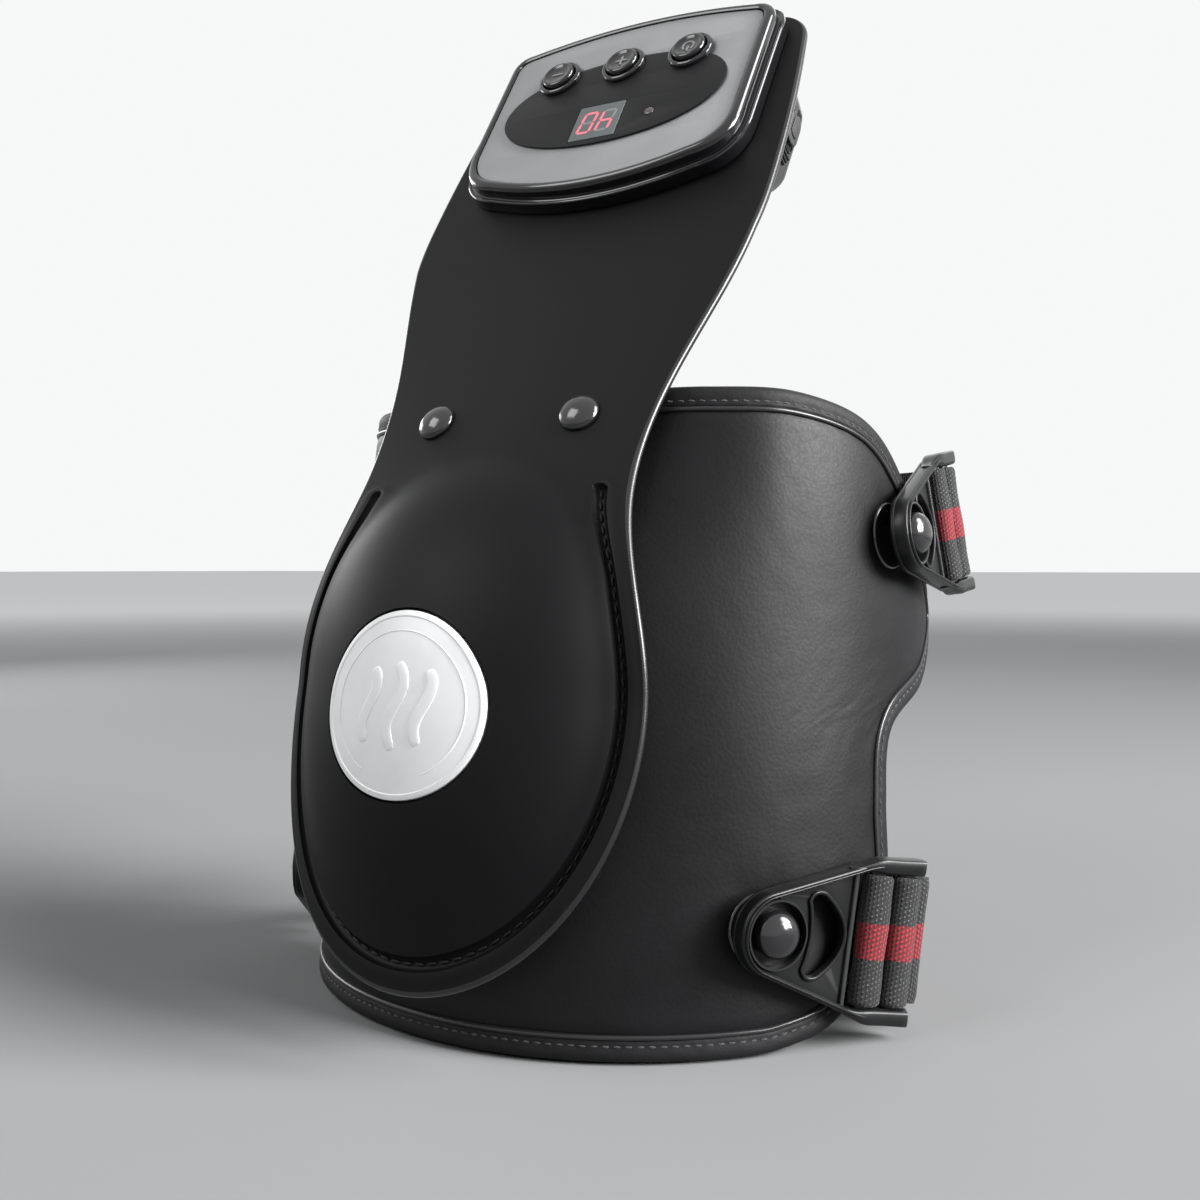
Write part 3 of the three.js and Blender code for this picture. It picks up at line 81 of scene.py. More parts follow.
SIDES = (("right", 1), ("left", -1))
log = logging.getLogger("leg_massager")


# Sums on numbers and points


def smooth(x: Array | float) -> Array:
    """Ease from 0 to 1 as x goes from 0 to 1."""
    t = np.clip(x, 0.0, 1.0)
    return t * t * (3.0 - 2.0 * t)


def lerp(a: Array | float, b: Array | float, t: Array | float) -> Array:
    """Go from a to b as t goes from 0 to 1."""
    return a + (b - a) * t


def unit(v: Array) -> Array:
    """Scale vectors along the last axis to length 1."""
    return v / np.maximum(np.linalg.norm(v, axis=-1, keepdims=True), 1e-12)


def stacked(*parts: Array | float) -> Array:
    """Set values side by side along a new last axis."""
    return np.stack(np.broadcast_arrays(*parts), axis=-1)


def level(line: Array, height: float) -> Array:
    """Lift a flat line to a height."""
    return stacked(*line.T, height)


def noise(points: Array, pitch: float, seed: int) -> Array:
    """Smooth wandering values from -1 to 1 over space.

    Args:
        points: Places, in millimetres, as (..., 3).
        pitch: Distance over which the value wanders.
        seed: Picks one pattern.

    Returns:
        One value for each place.
    """
    rng = np.random.default_rng(seed)
    total = np.zeros(points.shape[:-1])
    for _ in range(7):
        wave = unit(rng.normal(size=3)) * rng.uniform(0.6, 1.5) * 2 * math.pi / pitch
        total += np.sin(points @ wave + rng.uniform(0, 2 * math.pi))
    return total / 3.2


@dataclass(frozen=True)
class Axes:
    """Right-handed axes with an origin, in millimetres."""

    origin: Array
    across: Array
    up: Array
    out: Array

    def place(self, local: Array) -> Array:
        """Turn points in these axes into points of the row frame."""
        return self.origin + np.asarray(local, float) @ np.stack([self.across, self.up, self.out])

    def moved(self, x: float = 0.0, y: float = 0.0, z: float = 0.0) -> "Axes":
        """Give the same axes from another origin."""
        return Axes(self.place(np.array([x, y, z])), self.across, self.up, self.out)

    def point(self, x: float, y: float, z: float) -> tuple[float, float, float]:
        return tuple(float(v) for v in self.place(np.array([x, y, z])) * MM)


PLAIN = Axes(np.zeros(3), *np.eye(3))


class Spline:
    """Centripetal Catmull-Rom curve through points, read by its share of length."""

    def __init__(self, points: Pairs, samples: int = 40) -> None:
        """Sample the curve.

        Args:
            points: The points it goes through, in order.
            samples: Samples for each stretch between two points.
        """
        p = np.asarray(points, float)
        p = np.vstack([2 * p[0] - p[1], p, 2 * p[-1] - p[-2]])
        rows = []
        for k in range(1, len(p) - 2):
            a, b, c, d = p[k - 1], p[k], p[k + 1], p[k + 2]
            gaps = [max(np.linalg.norm(y - x) ** 0.5, 1e-6) for x, y in ((a, b), (b, c), (c, d))]
            m1 = ((b - a) / gaps[0] - (c - a) / (gaps[0] + gaps[1]) + (c - b) / gaps[1]) * gaps[1]
            m2 = ((c - b) / gaps[1] - (d - b) / (gaps[1] + gaps[2]) + (d - c) / gaps[2]) * gaps[1]
            t = np.linspace(0, 1, samples, endpoint=False)[:, None]
            rows.append((2 * t**3 - 3 * t**2 + 1) * b + (t**3 - 2 * t**2 + t) * m1
                        + (-2 * t**3 + 3 * t**2) * c + (t**3 - t**2) * m2)
        self.points = np.vstack([*rows, p[-2][None]])
        steps = np.linalg.norm(np.diff(self.points, axis=0), axis=1)
        self.run = np.concatenate([[0.0], np.cumsum(steps)])
        self.length = float(self.run[-1])

    def at(self, share: Array | float) -> Array:
        """Give the points at shares of the whole length."""
        want = np.asarray(share, float) * self.length
        parts = [np.interp(want, self.run, column) for column in self.points.T]
        return np.stack(parts, axis=-1)

    def heading(self, share: Array | float) -> Array:
        """Give the unit directions at shares of the whole length."""
        s = np.asarray(share, float)
        return unit(self.at(np.minimum(s + 2e-3, 1)) - self.at(np.maximum(s - 2e-3, 0)))


# Meshes


class Net:
    """Points and faces of a piece while it is made, in millimetres."""

    def __init__(self) -> None:
        """Start with nothing."""
        self.points: list[Array] = []
        self.faces: list[Face] = []
        self.marks: list[int] = []
        self.spans: list[Array] = []
        self.count = 0

    def add(self, points: Array, faces: Iterable[Sequence[int]], mark: int = 0,
            span: Array | None = None) -> int:
        """Add points and the faces between them.

        Args:
            points: Places as (n, 3).
            faces: Corners, counted from the first of these points.
            mark: Which of the piece's finishes the faces take.
            span: Two numbers for each point, along and across it, in millimetres.

        Returns:
            The number of the first new point.
        """
        first = self.count
        flat = np.asarray(points, float).reshape(-1, 3)
        self.points.append(flat)
        pairs = np.zeros((len(flat), 2)) if span is None else np.asarray(span, float)
        self.spans.append(pairs.reshape(-1, 2))
        self.count += len(flat)
        for corners in faces:
            self.faces.append(tuple(first + int(c) for c in corners))
            self.marks.append(mark)
        return first

    def grid(self, points: Array, ring_rows: bool = False, ring_columns: bool = False, mark: int = 0,
             span: Array | None = None, flip: bool = False) -> int:
        """Add a grid of points as (rows, columns, 3) with quads between them."""
        rows, columns = points.shape[:2]
        faces = []
        for j in range(rows if ring_rows else rows - 1):
            a, b = j * columns, ((j + 1) % rows) * columns
            for i in range(columns if ring_columns else columns - 1):
                n = (i + 1) % columns
                quad = (a + i, a + n, b + n, b + i)
                faces.append(quad[::-1] if flip else quad)
        return self.add(points, faces, mark, span)

    def loft(self, loops: Sequence[Array], mark: int = 0, caps: bool = True, ring: bool = False,
             span: Array | None = None) -> int:
        """Add a closed skin through loops of equally many points, with a fan at each end."""
        stack = np.stack([np.asarray(loop, float) for loop in loops])
        first = self.grid(stack, ring_rows=ring, ring_columns=True, mark=mark, span=span)
        n, rows = stack.shape[1], stack.shape[0]
        if caps and not ring:
            for row, flip in ((0, True), (rows - 1, False)):
                if np.ptp(stack[row], axis=0).max() < 1e-9:
                    continue
                hub = self.add(stack[row].mean(0)[None], [], mark)
                for i in range(n):
                    a, b = first + row * n + i, first + row * n + (i + 1) % n
                    self.faces.append((hub, b, a) if flip else (hub, a, b))
                    self.marks.append(mark)
        return first

    def cord(self, path: Array, section: Array, up: Array = UP, ring: bool = False, mark: int = 0) -> None:
        """Add a closed skin round a path."""
        self.loft(swept(path, section, up, ring), mark, ring=ring)

    def object(self, name: str, finishes: Sequence[Material], angle: float = 40.0,
               axes: Axes = PLAIN) -> Piece:
        """Make the piece.

        Args:
            name: The piece's name.
            finishes: Its materials, by mark.
            angle: Edges sharper than this many degrees stay crisp.
            axes: The axes that the points are given in.

        Returns:
            The new object, at the origin, with faces that point out.
        """
        places = axes.place(np.vstack(self.points)) * MM
        mesh = bpy.data.meshes.new(name)
        mesh.from_pydata(places.tolist(), [], self.faces)
        for finish in finishes:
            mesh.materials.append(finish)
        mesh.polygons.foreach_set("material_index", self.marks)
        spans = np.vstack(self.spans) * MM
        layer = mesh.uv_layers.new(name="Span")
        corners = np.empty(len(mesh.loops), np.int32)
        mesh.loops.foreach_get("vertex_index", corners)
        layer.data.foreach_set("uv", spans[corners].astype(np.float32).ravel())
        return finished(mesh, name, angle)


def placed(name: str, data: bpy.types.ID) -> Piece:
    """Put an object with this data in the scene."""
    piece = bpy.data.objects.new(name, data)
    bpy.context.scene.collection.objects.link(piece)
    return piece


def places_of(mesh: bpy.types.Mesh) -> Array:
    """Read a mesh's points."""
    co = np.empty(len(mesh.vertices) * 3)
    mesh.vertices.foreach_get("co", co)
    return co.reshape(-1, 3)


def finished(mesh: bpy.types.Mesh, name: str, angle: float = 40.0, weld: float = 1e-6) -> Piece:
    """Weld a mesh, turn its faces outwards, smooth it and put it in the scene."""
    work = bmesh.new()
    work.from_mesh(mesh)
    bmesh.ops.remove_doubles(work, verts=work.verts, dist=weld)
    bmesh.ops.dissolve_degenerate(work, edges=work.edges, dist=weld)
    bmesh.ops.recalc_face_normals(work, faces=work.faces)
    for face in work.faces:
        face.smooth = True
    for edge in work.edges:
        if len(edge.link_faces) == 2:
            edge.smooth = edge.calc_face_angle(0.0) < math.radians(angle)
    work.to_mesh(mesh)
    work.free()
    mesh.update()
    return placed(name, mesh)


def settled(piece: Piece) -> Piece:
    """Bake a piece's modifiers into its mesh and take them off."""
    bpy.context.view_layer.update()
    graph = bpy.context.evaluated_depsgraph_get()
    mesh = bpy.data.meshes.new_from_object(piece.evaluated_get(graph))
    name = piece.name
    piece.modifiers.clear()
    if piece.type != "MESH":
        bpy.data.objects.remove(piece)
        return placed(name, mesh)
    old = piece.data
    piece.data = mesh
    bpy.data.meshes.remove(old)
    mesh.name = name
    return piece


def turned(profile: Pairs, turns: int = 48) -> list[Array]:
    """Turn pairs of radius and height about Z.

    Args:
        profile: Radius and height, from one pole or rim to the other.
        turns: Steps round.

    Returns:
        One loop of points for each pair.
    """
    angle = np.arange(turns) * 2 * math.pi / turns
    return [stacked(r * np.cos(angle), r * np.sin(angle), float(h)) for r, h in profile]


def rounded(profile: Pairs, radius: float, steps: int = 3) -> list[Array]:
    """Round the inner corners of an open line of 2-D points."""
    p = [np.asarray(q, float) for q in profile]
    line = [p[0]]
    for a, b, c in zip(p, p[1:], p[2:]):
        reach = min(radius, np.linalg.norm(a - b) * 0.45, np.linalg.norm(c - b) * 0.45)
        start, end = b + unit(a - b) * reach, b + unit(c - b) * reach
        for k in range(steps + 1):
            t = k / steps
            line.append((1 - t) ** 2 * start + 2 * t * (1 - t) * b + t**2 * end)
    return [*line, p[-1]]


def swept(path: Array, section: Array, up: Array, ring: bool = False) -> list[Array]:
    """Carry a flat section along a path.

    Args:
        path: Points along the way, (n, 3).
        section: Closed outline, sideways and upwards, (m, 2).
        up: The section's upward direction, one for all or one for each point.
        ring: Whether the path closes on itself.

    Returns:
        One loop of points for each point of the path.
    """
    ahead = np.roll(path, -1, axis=0) - np.roll(path, 1, axis=0)
    if not ring:
        ahead[0], ahead[-1] = path[1] - path[0], path[-1] - path[-2]
    ahead = unit(ahead)
    rise = np.broadcast_to(np.asarray(up, float), path.shape)
    side = unit(np.cross(rise, ahead))
    rise = np.cross(ahead, side)
    return [p + section[:, :1] * s + section[:, 1:] * r for p, s, r in zip(path, side, rise)]


def oval(width: float, height: float, steps: int = 12, power: float = 1.0) -> Array:
    """Give a closed oval section; a power under 1 squares its corners."""
    a = np.arange(steps) * 2 * math.pi / steps
    c, s = np.cos(a), np.sin(a)
    return stacked(width / 2 * np.sign(c) * np.abs(c) ** power, height / 2 * np.sign(s) * np.abs(s) ** power)


def plate(name: str, outlines: Sequence[Array], low: float, high: float, finish: Material,
          bevel: float = 0.3, axes: Axes = PLAIN, angle: float = 35.0) -> Piece:
    """Fill flat outlines, holes inside them, between two heights, with rounded rims.

    Args:
        name: The piece's name.
        outlines: Closed lines as (n, 2), in millimetres; one inside another is a hole.
        low: Lower face.
        high: Upper face.
        finish: The material.
        bevel: Radius of the rims.
        axes: The axes that the outlines and heights are given in.
        angle: Edges sharper than this many degrees stay crisp.

    Returns:
        The new object.
    """
    curve = bpy.data.curves.new(name, "CURVE")
    curve.dimensions = "2D"
    curve.fill_mode = "BOTH"
    curve.extrude = (high - low) / 2 - bevel
    curve.bevel_depth = bevel
    curve.bevel_resolution = 2
    curve.offset = -bevel
    for line in outlines:
        spline = curve.splines.new("POLY")
        spline.points.add(len(line) - 1)
        spline.points.foreach_set("co", stacked(*line.T, 0.0, 1.0).ravel())
        spline.use_cyclic_u = True
    piece = settled(placed(name, curve))
    mesh = piece.data
    bpy.data.objects.remove(piece)
    co = places_of(mesh) + [0, 0, (low + high) / 2]
    mesh.vertices.foreach_set("co", (axes.place(co) * MM).ravel())
    mesh.materials.clear()
    mesh.materials.append(finish)
    return finished(mesh, name, angle, weld=2e-6)


def lofted(name: str, loops: Sequence[Array], finish: Material, angle: float = 40.0, axes: Axes = PLAIN,
           **how: object) -> Piece:
    """Make a piece of one closed skin through loops."""
    net = Net()
    net.loft(loops, **how)
    return net.object(name, [finish], angle, axes)


def cut_by(piece: Piece, tool: Piece, angle: float,
           operation: str = "DIFFERENCE") -> Piece:
    """Cut a piece by a tool, or weld the tool on, take the tool away and smooth the piece afresh."""
    step = piece.modifiers.new(operation, "BOOLEAN")
    step.operation, step.solver, step.object = operation, "EXACT", tool
    piece = settled(piece)
    bpy.data.objects.remove(tool)
    mesh, name = piece.data, piece.name
    bpy.data.objects.remove(piece)
    return finished(mesh, name, angle)


def joined(name: str, pieces: Sequence[Piece]) -> Piece:
    """Join pieces into the first one and name it."""
    bpy.ops.object.select_all(action="DESELECT")
    for piece in pieces:
        piece.select_set(True)
    bpy.context.view_layer.objects.active = pieces[0]
    bpy.ops.object.join()
    pieces[0].name = name
    pieces[0].data.name = name
    return pieces[0]


def show(piece: Piece, body: str, nodes: Sequence[str] = ()) -> Piece:
    """Put a piece on its body and say which nodes it stands for."""
    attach(piece, body)
    if nodes:
        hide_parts(*nodes)
    log.info("%s on %s: %d faces", piece.name, body, len(piece.data.polygons))
    return piece


# Finishes


class Value:
    """A shader socket that takes part in Python sums."""

    def __init__(self, shader: "Shader", socket: bpy.types.NodeSocket) -> None:
        """Hold an output socket of a shader's tree."""
        self.shader = shader
        self.socket = socket

    def math(self, operation: str, *others: "Value | float", swap: bool = False) -> "Value":
        """Add a Math node on this value and others, the first of them ahead of it if swapped."""
        terms = [others[0], self, *others[1:]] if swap else [self, *others]
        return self.shader.node("ShaderNodeMath", {"operation": operation}, dict(enumerate(terms)))

    def __add__(self, other: "Value | float") -> "Value":
        """Sum."""
        return self.math("ADD", other)

    __radd__ = __add__

    def __mul__(self, other: "Value | float") -> "Value":
        """Product."""
        return self.math("MULTIPLY", other)

    __rmul__ = __mul__

    def __sub__(self, other: "Value | float") -> "Value":
        """Difference."""
        return self.math("SUBTRACT", other)

    def __rsub__(self, other: float) -> "Value":
        """Difference from a number."""
        return self.math("SUBTRACT", other, swap=True)

    def __truediv__(self, other: "Value | float") -> "Value":
        """Quotient."""
        return self.math("DIVIDE", other)

    def __gt__(self, level: float) -> "Value":
        """Give 1 where the value is above a level."""
        return self.math("GREATER_THAN", level)

    def eased(self, low: float, high: float) -> "Value":
        """Ease from 0 at one level to 1 at another."""
        levels = {"Value": self, "From Min": low, "From Max": high}
        return self.shader.node("ShaderNodeMapRange", {"interpolation_type": "SMOOTHSTEP"}, levels)

    def sine(self) -> "Value":
        """Sine of the value."""
        return self.math("SINE")

    def size(self) -> "Value":
        """Value without its sign."""
        return self.math("ABSOLUTE")


class Shader:
    """A material's node tree, written as sums."""

    def __init__(self, name: str) -> None:
        """Start a material with one Principled shader."""
        self.material = bpy.data.materials.new(name)
        self.material.use_nodes = True
        self.tree = self.material.node_tree
        self.tree.nodes.clear()
        self.surface = self.tree.nodes.new("ShaderNodeBsdfPrincipled")
        sink = self.tree.nodes.new("ShaderNodeOutputMaterial")
        self.tree.links.new(self.surface.outputs[0], sink.inputs[0])

    def node(self, kind: str, settings: dict, values: dict, output: int | str = 0) -> Value:
        """Add a node.

        Args:
            kind: The node's type.
            settings: Its own settings, set first.
            values: Numbers, vectors or Values for its sockets, by name or place.
            output: Which output to give back.

        Returns:
            That output as a Value.
        """
        made = self.tree.nodes.new(kind)
        for key, setting in settings.items():
            setattr(made, key, setting)
        for key, value in values.items():
            self.feed(made.inputs[key], value)
        return Value(self, made.outputs[output])

    def feed(self, socket: bpy.types.NodeSocket, value: "Value | float | Sequence[float]") -> None:
        """Link a Value to a socket, or set the socket to a number."""
        if isinstance(value, Value):
            self.tree.links.new(value.socket, socket)
        else:
            socket.default_value = value

    def place(self, kind: str = "Object") -> Value:
        """Give the Object coordinates, or the UV as a vector."""
        return self.node("ShaderNodeTexCoord", {}, {}, kind)

    def stretched(self, place: Value, scale: Sequence[float]) -> Value:
        """Scale coordinates."""
        return self.node("ShaderNodeMapping", {}, {"Vector": place, "Scale": scale})

    def cloud(self, place: Value, pitch: float, detail: float = 3.0, rough: float = 0.55) -> Value:
        """Give soft noise from 0 to 1 with a pitch in metres."""
        values = {"Vector": place, "Scale": 1 / pitch, "Detail": detail, "Roughness": rough}
        return self.node("ShaderNodeTexNoise", {}, values)

    def cells(self, place: Value, pitch: float, feature: str = "F1") -> Value:
        """Give the distance to cell points, or to cell borders, with a pitch in metres."""
        return self.node("ShaderNodeTexVoronoi", {"feature": feature}, {"Vector": place, "Scale": 1 / pitch})

    def part(self, place: Value, axis: int) -> Value:
        """Give one of a vector's three parts."""
        return self.node("ShaderNodeSeparateXYZ", {}, {0: place}, axis)

    def mixed(self, share: Value | float, a: Sequence[float] | Value, b: Sequence[float] | Value) -> Value:
        """Mix two colours."""
        made = self.tree.nodes.new("ShaderNodeMix")
        made.data_type = "RGBA"
        self.feed(made.inputs[0], share)
        self.feed(made.inputs[6], a if isinstance(a, Value) else (*a[:3], 1.0))
        self.feed(made.inputs[7], b if isinstance(b, Value) else (*b[:3], 1.0))
        return Value(self, made.outputs[2])

    def relief(self, height: Value, depth: float, strength: float = 1.0) -> None:
        """Raise the surface by a height from 0 to 1, over a depth in metres."""
        bump = self.node("ShaderNodeBump", {}, {"Height": height, "Distance": depth, "Strength": strength})
        self.feed(self.surface.inputs["Normal"], bump)

    def worn(self) -> Value:
        """Give 1 at convex edges and 0 on flats, with no camera in it."""
        pointed = self.node("ShaderNodeNewGeometry", {}, {}, "Pointiness")
        return pointed.eased(0.52, 0.62)

    def dress(self, **values: "Value | float | Sequence[float]") -> Material:
        """Set the shader's sockets by name, with _ for a space, and give the material."""
        for key, value in values.items():
            name = key.replace("_", " ").title().replace("Ior", "IOR").replace("Bsdf", "BSDF")
            if isinstance(value, tuple) and len(value) == 3:
                value = (*value, 1.0)
            self.feed(self.surface.inputs[name], value)
        return self.material


@dataclass(frozen=True)
class Leather:
    """Soft grained leather with a low sheen, a little polished on its high places."""

    name: str = "wrap_leather"
    colour: tuple[float, float, float] = (0.0026, 0.0026, 0.003)
    high: tuple[float, float, float] = (0.0052, 0.0052, 0.006)
    grain: float = 0.0011
    depth: float = 0.00005
    roughness: float = 0.4

    def make(self) -> Material:
        """Build the material."""
        s = Shader(self.name)
        place = s.place()
        wander = s.cloud(place, 0.055, 2.0)
        pebble = s.cells(place, self.grain, "SMOOTH_F1").eased(0.1, 0.75)
        crease = s.cloud(s.stretched(place, (1, 1, 0.45)), 0.0042, 5.0, 0.6)
        s.relief(pebble * -0.7 + crease * 0.9, self.depth, 0.55)
        return s.dress(
            base_color=s.mixed(wander.eased(0.3, 0.72), self.colour, self.high),
            roughness=self.roughness + wander * 0.1 + pebble * 0.05, specular_ior_level=0.2,
        )


@dataclass(frozen=True)
class Moulding:
    """Moulded plastic or rubber, from soft-touch to satin."""

    name: str
    colour: tuple[float, float, float]
    roughness: float
    spark: float = 0.0006
    depth: float = 0.000012
    coat: float = 0.0
    # How much paler convex edges are painted: partly edge wear, partly painted highlight.
    wear: float = 0.012
    shine: float = 0.5
    polish: float = 0.0

    def make(self) -> Material:
        """Build the material."""
        s = Shader(self.name)
        place = s.place()
        wander = s.cloud(place, 0.04, 3.0)
        fine = s.cloud(place, self.spark, 2.0)
        edge = s.worn()
        s.relief(fine, self.depth, 0.5)
        coat = edge * self.polish + self.coat if self.polish else self.coat
        # Convex edges are painted paler, partly as rubbed wear and partly as painted highlight; the rest of
        # the tone wanders at random.
        pale = tuple(c + self.wear for c in self.colour)
        return s.dress(
            base_color=s.mixed(edge * 0.6 + wander * 0.25, self.colour, pale),
            roughness=self.roughness + wander * 0.07 - edge * 0.06 - 0.035,
            coat_weight=coat, coat_roughness=0.12, specular_ior_level=self.shine,
        )


@dataclass(frozen=True)
class Metal:
    """Plain metal, brushed or turned."""

    name: str
    colour: tuple[float, float, float]
    roughness: float
    metallic: float = 1.0
    brushed: tuple[float, float, float] = (1.0, 1.0, 1.0)

    def make(self) -> Material:
        """Build the material."""
        s = Shader(self.name)
        place = s.place()
        lines = s.cloud(s.stretched(place, self.brushed), 0.0009, 4.0, 0.7)
        smudge = s.cloud(place, 0.018, 3.0)
        s.relief(lines, 0.000008, 0.4)
        dull = tuple(c * 0.93 for c in self.colour)
        return s.dress(
            base_color=s.mixed(smudge.eased(0.35, 0.7), self.colour, dull),
            roughness=self.roughness + lines * 0.1 + smudge * 0.08, metallic=self.metallic,
        )


@dataclass(frozen=True)
class Webbing:
    """Ribbed elastic webbing with a coloured middle; its UV runs along and across in metres."""

    name: str = "elastic_webbing"
    black: tuple[float, float, float] = (0.003, 0.003, 0.0034)
    loop: tuple[float, float, float] = (0.17, 0.174, 0.18)
    red: tuple[float, float, float] = (0.42, 0.01, 0.022)
    stripe: float = 0.0052
    rib: float = 0.00125
    stitch: float = 0.00145

    def make(self) -> Material:
        """Build the material."""
        s = Shader(self.name)
        span = s.place("UV")
        along, across = s.part(span, 0), s.part(span, 1)
        wobble = s.cloud(span, 0.002, 3.0) * 0.0007
        rows = (along + wobble) * (2 * math.pi / self.rib)
        rungs = (across + along * 0.45 + wobble) * (2 * math.pi / self.stitch)
        knit = rows.sine() * 0.5 + rungs.sine() * 0.5
        loops = knit.eased(0.55, 1.0)
        fluff = s.cloud(span, 0.0005, 4.0, 0.7)
        middle = (across + wobble * 0.5).size().eased(self.stripe + 0.00025, self.stripe - 0.00025)
        black = s.mixed(loops * fluff.eased(0.38, 0.62), self.black, self.loop)
        # The red stripe is painted four times darker in the knit's hollows: painted shade between the ribs.
        red = s.mixed(knit.eased(0.2, 0.95), tuple(c * 0.25 for c in self.red), self.red)
        s.relief(knit * 0.5 + fluff * 0.35, 0.00042, 0.9)
        return s.dress(base_color=s.mixed(middle, black, red), roughness=0.86 - loops * 0.14,
                       sheen_weight=0.1, sheen_roughness=0.5)


@dataclass(frozen=True)
class Cloth:
    """Close knit or brushed cloth, seen by its fine loops."""

    name: str
    colour: tuple[float, float, float]
    pale: tuple[float, float, float]
    pitch: float = 0.0009
    depth: float = 0.00018

    def make(self) -> Material:
        """Build the material."""
        s = Shader(self.name)
        place = s.place()
        nap = s.cloud(place, 0.02, 4.0, 0.6)
        fibre = s.cloud(s.stretched(place, (1, 1, 0.35)), self.pitch, 4.0, 0.7)
        loops = s.cells(place, self.pitch * 1.3).eased(0.0, 0.8)
        s.relief(fibre - loops * 0.5, self.depth, 0.7)
        return s.dress(base_color=s.mixed(fibre * 0.7 + nap * 0.3, self.colour, self.pale),
                       roughness=0.93 - nap * 0.08, sheen_weight=0.35, sheen_roughness=0.45)


@dataclass(frozen=True)
class Glow:
    """A clear tint over something lit, such as a display's segment."""

    name: str
    colour: tuple[float, float, float]
    light: float = 0.0
    roughness: float = 0.25

    def make(self) -> Material:
        """Build the material."""
        s = Shader(self.name)
        haze = s.cloud(s.place(), 0.003, 2.0)
        dim = tuple(c * 0.8 for c in self.colour)
        return s.dress(base_color=s.mixed(haze, self.colour, dim), roughness=self.roughness + haze * 0.05,
                       emission_color=(*self.colour, 1.0), emission_strength=self.light)


@dataclass(frozen=True)
class Laminate:
    """Sheet stock with a faint layout of lines, such as a board or a heating film."""

    name: str
    colour: tuple[float, float, float]
    line: tuple[float, float, float]
    pitch: float
    roughness: float = 0.5

    def make(self) -> Material:
        """Build the material."""
        s = Shader(self.name)
        place = s.place()
        waves = s.part(place, 2) * (2 * math.pi / self.pitch) + s.part(place, 0) * (math.pi / self.pitch)
        tracks = waves.sine().eased(0.55, 0.75)
        s.relief(tracks, 0.00004, 0.6)
        return s.dress(base_color=s.mixed(tracks, self.colour, self.line),
                       roughness=self.roughness - tracks * 0.15)


class Finishes:
    """The finishes of the whole massager, made once."""

    def __init__(self) -> None:
        """Make every material."""
        self.leather = Leather().make()
        self.lining = Cloth("brushed_lining", (0.018, 0.018, 0.02), (0.05, 0.05, 0.055),
                            0.0008, 0.0002).make()
        self.binding = Leather("binding_tape", (0.006, 0.006, 0.0066), (0.011, 0.011, 0.012), 0.0009, 0.00006,
                               0.5).make()
        self.piping = Moulding("bound_piping", (0.012, 0.012, 0.013), 0.3).make()
        self.thread = Cloth("sewing_thread", (0.022, 0.022, 0.024), (0.06, 0.06, 0.064),
                            0.0004, 0.00012).make()
        self.moulding = Moulding("soft_touch_moulding", (0.0025, 0.0025, 0.003), 0.52, 0.0008, 0.00002,
                                 wear=0.004, shine=0.13, polish=0.1).make()
        self.rim = Moulding("polished_rim", (0.005, 0.005, 0.0055), 0.33, 0.002, 0.000004, 0.15, 0.004).make()
        # The groove's stitches are painted far darker than the binding's thread: painted shade in the groove.
        self.groove = Moulding("groove_thread", (0.004, 0.004, 0.0045), 0.6, shine=0.25).make()
        self.satin = Moulding("satin_black", (0.006, 0.006, 0.007), 0.34, 0.0005, 0.00001,
                              wear=0.01, shine=0.28, polish=0.2).make()
        self.stud = Moulding("polished_black", (0.01, 0.01, 0.011), 0.16, 0.002, 0.000004, 0.4).make()
        # The buckle's convex edges are painted far paler: painted highlight along its rims, with some wear.
        self.buckle = Moulding("buckle_nylon", (0.0032, 0.0034, 0.0038), 0.32, 0.0005, 0.00001,
                               wear=0.04, shine=0.22, polish=0.2).make()
        self.gloss = Moulding("gloss_black", (0.006, 0.006, 0.007), 0.1, 0.003, 0.000003,
                              0.45, 0.006, 0.4).make()
        self.rubber = Moulding("port_rubber", (0.014, 0.014, 0.015), 0.6, 0.0004, 0.00002).make()
        self.silver = Metal("satin_silver_paint", (0.34, 0.345, 0.35), 0.42, 0.15).make()
        self.badge = Metal("badge_aluminium", (0.86, 0.865, 0.87), 0.38, 0.2, (1, 0.1, 1)).make()
        self.steel = Metal("plain_steel", (0.5, 0.51, 0.52), 0.3).make()
        self.overlay = Moulding("overlay_film", (0.01, 0.0102, 0.011), 0.45, 0.0004, 0.000006,
                                wear=0.004, shine=0.15).make()
        self.glass = Moulding("display_window", (0.1, 0.114, 0.114), 0.34, 0.003, 0.000002, 0.1, 0.02).make()
        self.lit = Glow("lit_segment", (0.75, 0.16, 0.22), 0.55).make()
        self.unlit = Glow("unlit_segment", (0.27, 0.31, 0.3)).make()
        self.lamp = Glow("indicator_lamp", (0.09, 0.075, 0.075), roughness=0.2).make()
        self.mark = Glow("pad_print", (0.3, 0.3, 0.31), roughness=0.4).make()
        self.webbing = Webbing().make()
        self.board = Laminate("circuit_board", (0.02, 0.09, 0.045), (0.05, 0.16, 0.08), 0.004).make()
        self.film = Laminate("heating_film", (0.26, 0.11, 0.035), (0.45, 0.3, 0.18), 0.006).make()
        self.cells = Laminate("cell_sleeve", (0.04, 0.1, 0.22), (0.05, 0.12, 0.26), 0.02, 0.35).make()


# Wrap


def stand_shift() -> Array:
    """Find how far the drawing's own frame was moved so that the part stands at the origin."""
    low, high = (np.array(corner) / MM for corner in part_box("circuit_board"))
    seat = Tongue().panel(np.zeros(3))
    board = seat.place(np.array([0.0, 0.0, 2.4]))
    return (low + high) / 2 - board


